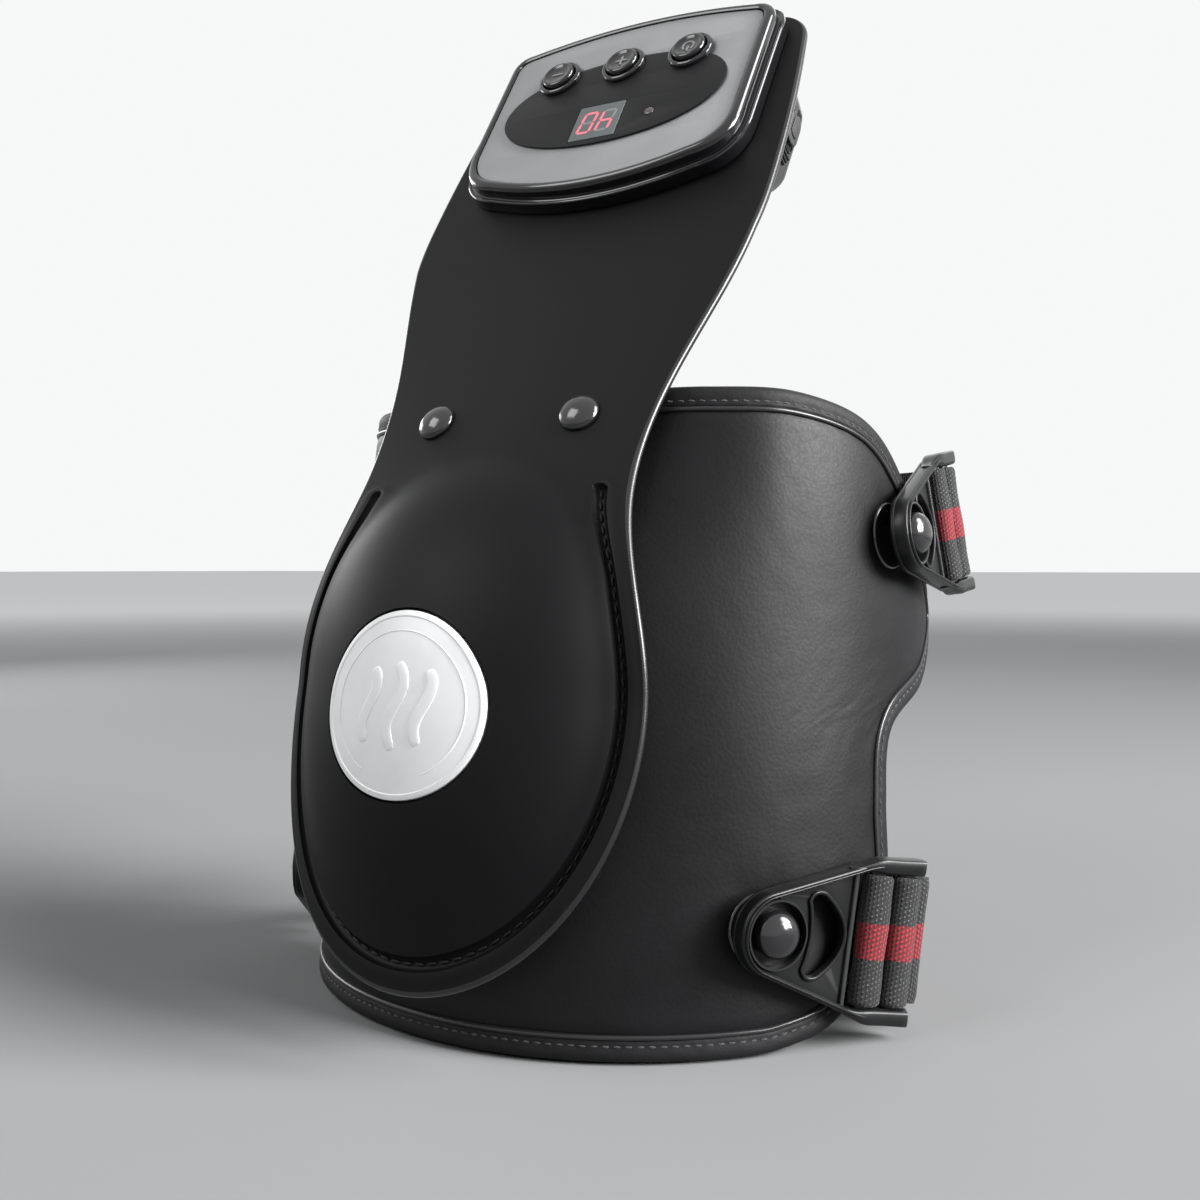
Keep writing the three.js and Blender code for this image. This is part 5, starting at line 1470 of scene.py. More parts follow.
@dataclass
class Binding:
    """Tape folded over the wrap's edge, with piping beside it and a row of stitches on both faces."""

    wrap: Wrap
    finishes: Finishes
    width: float = 5.5
    stations: int = 560
    piping_at: float = 6.1
    piping_radius: float = 0.8
    sewn_at: float = 3.7

    def edge(self) -> tuple[Array, Array]:
        """Follow the outline in even steps and give the inward directions."""
        rim = self.wrap.rim(240, 160)
        closed = np.vstack([rim, rim[:1]])
        run = np.concatenate([[0], np.cumsum(np.hypot(*np.diff(closed, axis=0).T))])
        want = np.linspace(0, run[-1], self.stations, endpoint=False)
        line = np.stack([np.interp(want, run, closed[:, k]) for k in (0, 1)], axis=1)
        for _ in range(3):
            line = (np.roll(line, 1, 0) + 2 * line + np.roll(line, -1, 0)) / 4
        ahead = unit(np.roll(line, -2, axis=0) - np.roll(line, 2, axis=0))
        return line, stacked(-ahead[:, 1], ahead[:, 0])

    def along(self, inward: float, depth: float) -> Array:
        """Give a run of points at one distance from the edge and one depth."""
        line, inner = self.edge()
        at = line + inner * inward
        return self.wrap.point(at[:, 0], at[:, 1], depth)

    def rises(self, inward: float, sign: float) -> Array:
        """Give the face's outward directions along such a run."""
        return unit(self.along(inward, -sign) - self.along(inward, 0.0))

    def tape(self) -> Piece:
        """Build the folded tape, a little uneven as sewn tape is."""
        total, w = self.wrap.total, self.width
        face = [(w, -0.1), (w + 0.02, -0.7), (w - 0.35, -1.0), (w - 1.2, -1.12), (w - 1.75, -1.04),
                (w - 2.4, -1.2), (2.0, -1.28), (0.9, -1.2), (0.0, -0.85), (-0.6, -0.2), (-1.0, 0.9),
                (-1.2, 2.3)]
        section = [*face, (-1.24, total / 2)]
        section += [(x, total - y) for x, y in face[::-1]]
        section += [(0.85, total + 0.05), (0.8, total / 2), (0.85, -0.05)]
        line, inner = self.edge()
        seam_phase = np.arange(len(line)) / len(line) * 2 * math.pi
        loops = []
        for x, y in section:
            ripple = 0.05 * np.sin(seam_phase * 97 + x) + 0.04 * np.sin(seam_phase * 211 + y)
            flat = line + inner * (x + ripple * (x > 2))[:, None]
            loops.append(self.wrap.point(flat[:, 0], flat[:, 1], y + ripple * (1 if y > 3 else -1) * (x > 1)))
        return lofted("binding_tape", loops, self.finishes.binding, 55, ring=True)

    def piping(self) -> Piece:
        """Build the thin piping that lies against the tape."""
        path = self.along(self.piping_at, -0.85)
        section = oval(2 * self.piping_radius, 2 * self.piping_radius, 12)
        loops = swept(path, section, self.rises(self.piping_at, 1.0), ring=True)
        return lofted("binding_piping", loops, self.finishes.piping, 60, ring=True)

    def build(self) -> None:
        """Build tape, piping and stitches."""
        show(self.tape(), "base", ["wrap_binding"])
        show(self.piping(), "base")
        runs = [self.along(self.sewn_at, depth) for depth in (-1.02, self.wrap.total + 1.02)]
        rises = [self.rises(self.sewn_at, 1.0), self.rises(self.sewn_at, -1.0)]
        sewn = Seam("binding_stitches", self.finishes.thread, pitch=3.3, long=2.2, thick=0.62)
        show(sewn.build(runs, rises, ring=True), "base")


@dataclass
class Groove:
    """The row of stitches sunk in the groove round the dome."""

    tongue: Tongue
    finishes: Finishes

    def build(self) -> None:
        """Lay the stitches on the groove's floor."""
        t = self.tongue
        s, u = t.line(t.groove_margin)
        keep = s < t.groove_end
        s, u = s[keep], u[keep]
        run = t.point(s, u, t.rise(s, u) - t.groove_depth * t.groove_radius + 0.3)
        rises = unit(t.point(s, u, 1.0) - t.point(s, u, 0.0))
        sewn = Seam("groove_stitches", self.finishes.groove, pitch=4.1, long=3.3, thick=1.0, seed=9)
        show(sewn.build([run], [rises]), "base")


@dataclass
class Tray:
    """The massage module's moulded tray between tongue and wrap."""

    tongue: Tongue
    wrap: Wrap
    finishes: Finishes
    half_length: float = 56.0
    half_width: float = 42.0
    draft: float = 0.82
    wall: float = 2.4
    turns: int = 112

    def ring(self, share: float, lift: float | None, drop: float = 0.0) -> Array:
        """Give one ring on the shell's back, or on the wrap's front at a lift."""
        t, w = self.tongue, self.wrap
        a = np.arange(self.turns) * 2 * math.pi / self.turns
        s = t.widest_at + 2 + self.half_length * share * np.sin(a)
        p = t.point(s, self.half_width * share * np.cos(a), -t.thickness - 0.3 - drop)
        if lift is None:
            return p
        q = p - w.shift
        return w.point(w.radius * np.arcsin(np.clip(q[:, 0] / w.radius, -1, 1)), q[:, 2], -lift)

    def build(self) -> None:
        """Build the tray as one closed shell."""
        low = 0.6
        high = low + self.wall
        inner = 1 - self.wall / self.half_width
        rim, foot = self.ring(1.0, None), self.ring(self.draft, low)
        walls = [lerp(foot, rim, f) for f in (0.06, 0.35, 0.42, 0.46, 0.7, 0.94)]
        bead = unit(walls[2] - walls[2].mean(0)) * 0.9
        walls[2], walls[3] = walls[2] + bead, walls[3] + bead
        loops = [self.ring(0.3, low), self.ring(0.62, low), self.ring(self.draft - 0.03, low), *walls, rim,
                 self.ring(inner, None), self.ring(self.draft * inner, high), self.ring(0.55, high),
                 self.ring(0.28, high)]
        show(lofted("tray_shell", loops, self.finishes.satin), "base", ["module_tray"])


# Fixings and badge


def lathe(name: str, profile: Pairs, axes: Axes, finish: Material,
          round_by: float = 0.3, turns: int = 56) -> Piece:
    """Turn a profile about the axes' outward direction, with eased corners."""
    return lofted(name, turned(rounded(profile, round_by), turns), finish, axes=axes)


@dataclass
class Rivet:
    """A waist rivet: domed head in front, shank, washer and burr inside."""

    tongue: Tongue
    finishes: Finishes
    up: float = 177.0
    span: float = 54.0
    head: float = 6.6
    shank: float = 2.4

    def build(self) -> None:
        """Build both rivets; the washers keep their own shape."""
        for side, sign in SIDES:
            axes = self.tongue.axes(self.up, sign * self.span / 2)
            low = self.reach(f"waist_rivet_{side}", axes)
            profile = [
                (0, low), (self.shank, low), (self.shank, 0.3), (self.head - 0.1, 0.3), (self.head, 0.9),
                (self.head * 0.985, 1.35), (self.head * 0.9, 2.15), (self.head * 0.72, 3.0),
                (self.head * 0.5, 3.65), (self.head * 0.25, 4.05), (0, 4.2),
            ]
            piece = lathe(f"waist_rivet_{side}_turned", profile, axes, self.finishes.stud, 0.5)
            show(piece, "base", [f"waist_rivet_{side}"])

    def reach(self, node: str, axes: Axes) -> float:
        """Give the shank end's height, read from its node."""
        solid = frame["nodes"][node]
        points = np.array([solid.matrix_world @ v.co for v in solid.data.vertices]) / MM
        return float(((points - axes.origin) @ axes.out).min())


@dataclass
class Badge:
    """The round plate sunk into the dome, with a raised ring and three rising heat waves."""

    tongue: Tongue
    finishes: Finishes
    radius: float = 26.0
    at: float = 79.5
    low: float = -1.6
    top: float = 0.3
    gap: float = 0.75
    ring: float = 20.6

    def laid(self, net: Net) -> Net:
        """Lay a flat net on the dome: across, up the dome and out of it."""
        t = self.tongue
        for k, flat in enumerate(net.points):
            s, u = self.at + flat[:, 1], flat[:, 0]
            net.points[k] = t.point(s, u, t.rise(s, u) + flat[:, 2])
        return net

    def seat(self, dome: Piece) -> Piece:
        """Cut the plate's seat into the dome, equally deep all over."""
        reach, floor = self.radius + self.gap, self.low - 0.3
        profile = [(r, floor) for r in np.linspace(0, reach, 16)] + [(reach, 7.0), (0, 7.0)]
        net = Net()
        net.loft(turned(profile, 128))
        return cut_by(dome, self.laid(net).object("seat_tool", [self.finishes.moulding], 40), 38)

    def build(self) -> None:
        """Build the plate and its relief."""
        r, top = self.radius, self.top
        profile = [(0, self.low), (r * 0.5, self.low), (r, self.low), (r, top - 0.45), (r - 0.12, top - 0.15),
                   (r - 0.45, top), (r - 1.5, top), (r - 1.8, top - 0.22)]
        profile += [(x, top - 0.22) for x in np.linspace(r - 2.6, 0, 16)]
        net = Net()
        net.loft(turned(profile, 128))
        face = top - 0.22
        angle = np.linspace(math.radians(-62), math.radians(242), 90)
        net.cord(stacked(self.ring * np.cos(angle), self.ring * np.sin(angle), face), oval(0.5, 0.36, 8))
        for k, x in enumerate((-8.6, 0.0, 8.6)):
            y = np.linspace(-12.5, 12.5, 60) * (1.0 if k == 1 else 0.86)
            wave = stacked(x + 2.1 * np.sin(y / 12.5 * math.pi), y, face)
            ends = np.sqrt(np.clip(1 - np.abs(np.linspace(-1, 1, 60)) ** 14, 0.0001, 1))
            loops = swept(wave, oval(3.4, 0.75, 14, 0.6), UP)
            net.loft([w + (loop - w) * e for w, loop, e in zip(wave, loops, ends)])
        piece = self.laid(net).object("badge_plate", [self.finishes.badge], 30)
        show(piece, "base", ["badge_disc"])


@dataclass
class Stud:
    """A stud: base washer on the leather, neck and polished ball cap."""

    wrap: Wrap
    finishes: Finishes
    cap: float = 6.9
    neck: float = 3.1
    base: float = 11.0
    cap_low: float = 9.1

    def build(self) -> None:
        """Build the four studs."""
        for site in SITES:
            for side, sign in SIDES:
                low, c = self.cap_low, self.cap
                behind = -self.wrap.leather - 0.96
                profile = [
                    (0, behind - 0.7), (6, behind - 0.7), (6, behind), (self.neck, behind), (self.neck, 0.5),
                    (self.base, 0.5), (self.base - 0.6, 1.3), (self.neck + 1.4, 2.0), (self.neck, 2.6),
                    (self.neck, low), (c * 0.93, low), (c, low + 0.7), (c * 0.985, low + 1.7),
                    (c * 0.9, low + 2.9), (c * 0.74, low + 3.9), (c * 0.5, low + 4.75), (c * 0.25, low + 5.1),
                    (0, low + 5.2),
                ]
                axes = self.wrap.basis(site.reach, site.height, sign)
                piece = lathe(f"ball_stud_{side}_{site.level}", profile, axes, self.finishes.stud, 0.5, 48)
                show(piece, "base", [f"stud_{side}_{site.level}"])


# Control panel and battery housing


def bezier(points: Pairs, steps: int) -> Array:
    """Sample a quadratic or cubic curve, without its last point."""
    t = np.linspace(0, 1, steps, endpoint=False)[:, None]
    rows = [np.broadcast_to(q, (steps, 2)) for q in np.asarray(points, float)]
    while len(rows) > 1:
        rows = [lerp(a, b, t) for a, b in zip(rows, rows[1:])]
    return rows[0]


def circle(x: float, y: float, radius: float, steps: int = 40) -> Array:
    """Give a closed circle as points."""
    a = np.arange(steps) * 2 * math.pi / steps
    return stacked(x + radius * np.cos(a), y + radius * np.sin(a))


def block_line(x: float, y: float, width: float, height: float, corner: float = 0.6) -> Array:
    """Give a closed rectangle with rounded corners as points."""
    rows = []
    for sx, sy, start in ((1, 1, 0.0), (-1, 1, 0.5), (-1, -1, 1.0), (1, -1, 1.5)):
        a = (start + np.linspace(0, 0.5, 5)) * math.pi
        middle = np.array([x + sx * (width / 2 - corner), y + sy * (height / 2 - corner)])
        rows.append(middle + corner * stacked(np.cos(a), np.sin(a)))
    return np.vstack(rows)


class Mark(Enum):
    """Plain signs on the keys, as strokes of two ends each, in millimetres."""

    MINUS = (((-2.3, 0.0), (2.3, 0.0)),)
    PLUS = (((-2.3, 0.0), (2.3, 0.0)), ((0.0, -2.3), (0.0, 2.3)))
    POWER = (((0.0, 0.2), (0.0, 2.9)),)


@dataclass
class Panel:
    """Gloss housing with its silver plate, dark overlay, three keys, display and lamp."""

    axes: Axes
    finishes: Finishes
    half_width: float = 52.0
    half_height: float = 33.0
    bow_top: float = 5.5
    bow_bottom: float = 10.0
    corner: float = 6.0
    low_corner: float = 12.0
    floor: float = 8.2
    ceiling: float = 6.2
    key_row: float = 14.5
    key_pitch: float = 27.0
    key_radius: float = 6.3
    hole: float = 6.65
    collar: float = 1.9
    overlay: tuple[float, float, float, float] = (45.0, 19.0, -25.5, -3.0)
    window: tuple[float, float, float, float] = (-2.2, -14.0, 18.6, 17.6)
    lamp: tuple[float, float, float] = (18.6, -14.0, 1.9)

    def outline(self, grow: float) -> Array:
        """Give the plate's outline, grown outwards, always with equally many points."""
        w, top = self.half_width + grow, self.half_height + grow
        bottom, sink = -self.half_height - grow, self.bow_bottom * 0.3
        r, low = self.corner + max(grow, 0), self.low_corner + max(grow, 0)
        curves = [
            ([(-w + low, bottom - sink), (0, bottom - 2 * self.bow_bottom + sink),
              (w - low, bottom - sink)], 48),
            ([(w - low, bottom - sink), (w - 1, bottom), (w, bottom + low)], 14),
            ([(w, bottom + low), (w, top - r)], 12),
            ([(w, top - r), (w, top), (w - r, top + 0.6)], 12),
            ([(w - r, top + 0.6), (0, top + 2 * self.bow_top), (-w + r, top + 0.6)], 48),
            ([(-w + r, top + 0.6), (-w, top), (-w, top - r)], 12),
            ([(-w, top - r), (-w, bottom + low)], 12),
            ([(-w, bottom + low), (-w + 1, bottom), (-w + low, bottom - sink)], 14),
        ]
        return np.vstack([bezier(points, steps) for points, steps in curves])

    def keys(self) -> list[tuple[str, float, Mark]]:
        """Give each key's name, place across and sign."""
        pitch = self.key_pitch
        return [("minus", -pitch, Mark.MINUS), ("plus", 0.0, Mark.PLUS), ("power", pitch, Mark.POWER)]

    def openings(self) -> list[Array]:
        """Give the holes that keys, window and lamp stand in."""
        x, y, w, h = self.window
        holes = [circle(at, self.key_row, self.hole) for _, at, _ in self.keys()]
        lamp_x, lamp_y, lamp_radius = self.lamp
        return [*holes, block_line(x, y, w + 0.6, h + 0.6), circle(lamp_x, lamp_y, lamp_radius + 0.3, 24)]

    def housing(self) -> None:
        """Build the housing: flange with a fine bright lip, raised frame, recess floor."""
        profile = [
            (4.2, 0.3), (4.75, 0.5), (5.0, 1.1), (5.0, 4.1), (5.05, 4.5), (4.98, 5.0), (4.7, 5.32),
            (4.35, 5.4), (4.05, 5.28), (3.85, 5.05), (3.2, 4.95), (2.9, 5.1), (2.8, 5.5), (2.8, 8.2),
            (2.72, 8.8), (2.45, 9.4), (1.85, 10.05), (1.2, 10.4), (0.5, 10.5), (-0.1, 10.4), (-0.5, 10.1),
            (-0.62, 9.6), (-0.62, 8.2), (-2.2, 8.2), (-2.2, 6.2), (-2.0, 6.0), (-2.0, 0.3),
        ]
        loops = [level(self.outline(grow), height) for grow, height in profile]
        piece = lofted("control_housing_shell", loops, self.finishes.gloss, 28, self.axes, ring=True)
        floor = plate("recess_floor", [self.outline(-1.2), *self.openings()], self.ceiling, self.floor,
                      self.finishes.gloss, 0.1, self.axes)
        show(joined("control_housing_shell", [piece, floor]), "flap", ["control_housing"])

    def face(self) -> None:
        """Build the silver plate and the overlay with its collars."""
        face = plate("silver_face_plate", [self.outline(-0.85), *self.openings()], self.floor + 0.3,
                     self.floor + 1.5, self.finishes.silver, 0.22, self.axes)
        show(face, "flap", ["face_plate"])
        half, top, bottom, middle = self.overlay
        oval_line = np.vstack([
            bezier([(-half, middle), (-half, -16), (-26, bottom), (0, bottom)], 40),
            bezier([(0, bottom), (26, bottom), (half, -16), (half, middle)], 40),
            bezier([(half, middle), (half, 9), (30, top), (0, top)], 40),
            bezier([(0, top), (-30, top), (-half, 9), (-half, middle)], 40),
        ])
        film = plate("overlay_film", [oval_line, *self.openings()[3:]], self.floor + 1.8, self.floor + 2.5,
                     self.finishes.overlay, 0.12, self.axes)
        drills = Net()
        for _, at, _ in self.keys():
            drills.loft([level(circle(at, self.key_row, self.hole + 0.3), z) for z in (9, 12)])
        film = cut_by(film, drills.object("drills", [self.finishes.overlay], 40, self.axes), 35)
        pieces = [film]
        low, rim = self.floor + 1.8, self.hole + self.collar
        for _, at, _ in self.keys():
            profile = [(self.hole, low), (rim + 0.1, low), (rim, low + 0.7), (rim - 0.1, low + 1.9),
                       (rim - 0.45, low + 2.35), (rim - 0.95, low + 2.6), (self.hole + 0.5, low + 2.55),
                       (self.hole + 0.1, low + 2.3), (self.hole, low)]
            pieces.append(lofted("collar", turned(rounded(profile, 0.18)[:-1], 72), self.finishes.gloss, 32,
                                 self.axes.moved(at, self.key_row), ring=True))
        show(joined("overlay_with_collars", pieces), "flap", ["panel_overlay"])

    def key(self, name: str, at: float, mark: Mark) -> None:
        """Build one dished key with its raised sign, which reads from the leg's side."""
        top, r = self.floor + 5.9, self.key_radius
        low = self.ceiling - 0.9
        profile = [(0, low), (self.hole + 0.8, low), (self.hole + 0.8, low + 0.6), (r, low + 0.6),
                   (r, top - 0.85), (r - 0.35, top - 0.2), (r - 0.95, top), (r - 1.5, top - 0.12),
                   (r - 2.2, top - 0.55), (r * 0.35, top - 0.85), (0, top - 0.9)]
        net = Net()
        net.loft(turned(rounded(profile, 0.25), 72))
        base = top - 0.86
        bar = oval(0.85, 0.7, 10, 0.7)
        for start, end in mark.value:
            a, b = (np.array([-x, -y, base]) for x, y in (start, end))
            net.cord(np.linspace(a, b, 4), bar, mark=1)
        if mark is Mark.POWER:
            turn = np.linspace(math.radians(-235), math.radians(55), 40)
            net.cord(stacked(-2.15 * np.cos(turn), -2.15 * np.sin(turn), base), bar, mark=1)
        piece = net.object(f"key_{name}", [self.finishes.gloss, self.finishes.mark], 32,
                           self.axes.moved(at, self.key_row))
        show(piece, f"button_{name}", [f"button_{name}"])

    def display(self) -> None:
        """Build the window with its two digits, and the lamp."""
        x, y, w, h = self.window
        top = self.floor + 2.6
        pane = plate("window_pane", [block_line(x, y, w, h, 0.4)], self.floor - 4.7, top,
                     self.finishes.glass, 0.2, self.axes)
        bars = {"a": (0, 1, 1), "g": (0, 0, 1), "d": (0, -1, 1), "f": (-1, 0.5, 0), "b": (1, 0.5, 0),
                "e": (-1, -0.5, 0), "c": (1, -0.5, 0)}
        half_wide, half_tall, slant = 2.45, 5.0, 0.12
        nets = {True: Net(), False: Net()}
        for offset, lit in ((-3.75, "fgbc"), (3.75, "abcdef")):
            for name, (sx, sy, flat) in bars.items():
                long, thick = (half_wide - 0.62, 0.55) if flat else (half_tall / 2 - 0.62, 0.55)
                tip = long + 0.45
                ends = np.array([(-tip, 0), (-long, thick), (long, thick), (tip, 0), (long, -thick),
                                 (-long, -thick)])
                line = ends if flat else ends[:, ::-1] * (1, -1)
                line = line + (sx * half_wide, sy * half_tall)
                line = line + stacked(line[:, 1] * slant, 0.0)
                place = stacked(x - offset - line[:, 0], y - 0.2 - line[:, 1])
                nets[name in lit].loft([level(place, z) for z in (top - 0.1, top + 0.03)])
        lit_piece = nets[True].object("lit_segments", [self.finishes.lit], 30, self.axes)
        dim_piece = nets[False].object("unlit_segments", [self.finishes.unlit], 30, self.axes)
        window = joined("display_with_digits", [pane, dim_piece, lit_piece])
        show(window, "flap", ["display_window"])
        lx, ly, lr = self.lamp
        lens = [(0, 3.5), (lr, 3.5), (lr, top - 0.2), (lr * 0.92, top + 0.1), (lr * 0.6, top + 0.34),
                (0, top + 0.45)]
        lamp = lathe("lamp_lens", lens, self.axes.moved(lx, ly), self.finishes.lamp, 0.3, 32)
        show(lamp, "flap", ["indicator_led"])

    def build(self) -> None:
        """Build the whole panel."""
        self.housing()
        self.face()
        for name, at, mark in self.keys():
            self.key(name, at, mark)
        self.display()


@dataclass
class Battery:
    """The housing behind the flap, with its parting line, grip ribs, screws and charging-port cover."""

    axes: Axes
    finishes: Finishes
    half_width: float = 61.0
    half_height: float = 31.0
    row: float = -15.0
    depth: float = 17.0
    slope: float = 17.0
    wall: float = 2.0
    back: float = -4.9
    corner: float = 9.0
    screws: tuple[tuple[float, float], ...] = ((-45, -20), (-45, 8), (45, -20), (45, 8))

    @property
    def port(self) -> tuple[float, float]:
        """Give the port's height up the flap and depth behind it."""
        return self.row + 8, self.back - 8

    def loop(self, depth: float, draft: float = 0.0, lift: float = 0.0) -> Array:
        """Give one rounded outline, drawn in by a draft, its lower edge lifted."""
        w, r = self.half_width - draft, self.corner
        low, high = self.row - self.half_height + lift, self.row + self.half_height - draft
        rows = []
        corners = ((w - r, low + r), (w - r, high - r), (r - w, high - r), (r - w, low + r))
        for k, (x, y) in enumerate(corners):
            a = np.radians(90 * k - 90 + np.linspace(0, 90, 13))
            rows.append(stacked(x + r * np.cos(a), y + r * np.sin(a), depth))
        sides = []
        for here, after in zip(rows, rows[1:] + rows[:1]):
            sides += [here[:-1], lerp(here[-1], after[0], np.linspace(0, 1, 12, endpoint=False)[:, None])]
        return np.vstack(sides)

    def shell(self) -> Piece:
        """Build the shell with its cavity."""
        floor, back = self.back - self.depth, self.back
        outer = [(back, 0.3, 0.3), (back - 0.3, 0, 0), (back - 3.7, 0, 0), (back - 3.95, 0.35, 0.35),
                 (back - 4.25, 0.35, 0.5), (back - 4.5, 0, 0.4)]
        for share in (0.2, 0.4, 0.6, 0.8, 0.92, 1.0):
            outer.append((lerp(back - 4.5, floor + 2.4, share), 0.8 * share, (self.slope - 2) * share**1.1))
        outer += [(floor + 1.2, 1.2, self.slope - 1.0), (floor + 0.35, 2.0, self.slope + 0.3),
                  (floor, 3.2, self.slope + 1.8)]
        inner = [(floor + self.wall, 3.6, self.slope + 1.8), (floor + self.wall + 1, 2.9, self.slope),
                 (back - 3, 2.0, 2.0), (back, 2.0, 2.0)]
        net = Net()
        net.loft([self.loop(*row) for row in outer], caps=False)
        net.loft([self.loop(*row) for row in inner], caps=False)
        size = len(self.loop(0.0))
        last = (len(outer) + len(inner) - 1) * size
        for i in range(size):
            n = (i + 1) % size
            net.faces.append((i, n, last + n, last + i))
            net.marks.append(0)
        for row, flip in ((len(outer) - 1, 0), (len(outer), 1)):
            hub = net.add(np.vstack(net.points).reshape(-1, 3)[row * size:(row + 1) * size].mean(0)[None], [])
            for i in range(size):
                a, b = row * size + i, row * size + (i + 1) % size
                net.faces.append((hub, a, b) if flip else (hub, b, a))
                net.marks.append(0)
        piece = net.object("battery_shell", [self.finishes.satin], 34, self.axes)
        tools = Net()
        socket = block_line(*self.port, 9.0, 4.6, 1.2)
        tools.loft([stacked(at, *socket.T) for at in (56.0, 64.0)])
        self.at_screws(tools, [(0, floor - 1), (3.2, floor - 1), (3.2, floor + 1.9), (1.9, floor + 1.9),
                               (1.9, back + 1), (0, back + 1)], 32)
        tool = tools.object("bores", [self.finishes.satin], 34, self.axes)
        posts = self.at_screws(Net(), [(0, floor + 0.5), (4.3, floor + 0.5), (4.3, back - 0.02),
                                       (0, back - 0.02)], 40)
        post = posts.object("posts", [self.finishes.satin], 34, self.axes)
        return cut_by(cut_by(piece, post, 34, "UNION"), tool, 34)

    def at_screws(self, net: Net, profile: Pairs, turns: int) -> Net:
        """Turn a profile about each screw's line."""
        for x, y in self.screws:
            net.loft([ring + (x, y, 0) for ring in turned(profile, turns)])
        return net

    def details(self) -> Piece:
        """Build grip ribs and the pull tab's recess frame on both ends."""
        net = Net()
        y, z = self.port
        for sign in (1, -1):
            for k in range(3):
                x = sign * (self.half_width - 0.25 - 0.05 * k)
                path = np.array([[x, y - 9.5 - 2.1 * k, z + 3.2], [x, y - 9.5 - 2.1 * k, z - 4.8 + 0.9 * k]])
                net.cord(path, oval(1.1, 1.3, 10), np.array([1.0, 0, 0]))
        ring = stacked(self.half_width - 0.1, *block_line(y, z, 15.4, 10.2, 3.0).T)
        net.cord(ring, oval(0.9, 0.9, 8), np.array([1.0, 0, 0]), ring=True)
        return net.object("grip_ribs", [self.finishes.satin], 40, self.axes)

    def cover(self) -> None:
        """Build the port's rubber cover with its pull tab."""
        y, z = self.port
        w, h = 13.0, 8.0
        line = np.vstack([
            bezier([(-w / 2, 0), (-w / 2, h / 2), (-w / 5, h / 2)], 10),
            bezier([(-w / 5, h / 2), (w / 5, h / 2)], 4),
            bezier([(w / 5, h / 2), (w / 2, h / 2), (w / 2 + 2.6, 0)], 12),
            bezier([(w / 2 + 2.6, 0), (w / 2, -h / 2), (w / 5, -h / 2)], 12),
            bezier([(w / 5, -h / 2), (-w / 5, -h / 2)], 4),
            bezier([(-w / 5, -h / 2), (-w / 2, -h / 2), (-w / 2, 0)], 10),
        ])
        seat = self.axes.place(np.array([self.half_width, y, z]))
        side = Axes(seat, self.axes.up, self.axes.out, self.axes.across)
        lid = plate("port_lid", [line], 0.3, 1.9, self.finishes.rubber, 0.45, side)
        raised = plate("port_lid_pad", [line * 0.62 + (0.4, 0)], 1.7, 2.35, self.finishes.rubber, 0.25, side)
        lip = Net()
        for k in range(3):
            at = w / 2 - 0.6 + 0.95 * k
            lip.cord(np.array([[at, -1.5, 2.0], [at, 1.5, 2.0]]), oval(0.5, 0.5, 8))
        tab = lip.object("pull_ribs", [self.finishes.rubber], 40, side)
        show(joined("port_lid", [lid, raised, tab]), "port_cover", ["port_cover"])

    def build(self) -> None:
        """Build housing, cover and screws."""
        housing = joined("battery_shell", [self.shell(), self.details()])
        show(housing, "flap", ["battery_housing"])
        self.cover()
        profile = [(0, 0), (2.5, 0), (2.9, 0.45), (2.9, 1.2), (1.9, 1.45), (0, 1.45)]
        net = Net()
        net.loft(turned(rounded(profile, 0.15), 40))
        for line in (((-1.75, 0), (1.75, 0)), ((0, -1.75), (0, 1.75))):
            a, b = (np.array([*end, 1.47]) for end in line)
            net.cord(np.linspace(a, b, 3), oval(0.55, 0.12, 8, 0.4))
        head = net.object("screw_head", [self.finishes.steel], 30)
        floor = self.back - self.depth
        away = Axes(self.axes.origin, -self.axes.across, self.axes.up, -self.axes.out)
        places = [away.moved(-x, y, -floor - 1.9 + 0.25) for x, y in self.screws]
        heads = copies("housing_screws", head, places, self.finishes.steel)
        shanks = self.at_screws(Net(), [(0, floor + 2.0), (1.5, floor + 2.0), (1.5, 4), (0, 4.8)], 20)
        rods = shanks.object("housing_screw_rods", [self.finishes.steel], 40, self.axes)
        nodes = [f"housing_screw_{k + 1}" for k in range(len(self.screws))]
        show(joined("housing_screws", [heads, rods]), "flap", nodes)


# Buckles and webbing


def turn_matrix(yaw: float, pitch: float, roll: float) -> Array:
    """Give a rotation about y, then x, then z, in degrees."""
    a, b, c = (math.radians(v) for v in (yaw, pitch, roll))
    ry = np.array([[math.cos(a), 0, math.sin(a)], [0, 1, 0], [-math.sin(a), 0, math.cos(a)]])
    rx = np.array([[1, 0, 0], [0, math.cos(b), -math.sin(b)], [0, math.sin(b), math.cos(b)]])
    rz = np.array([[math.cos(c), -math.sin(c), 0], [math.sin(c), math.cos(c), 0], [0, 0, 1]])
    return ry @ rx @ rz


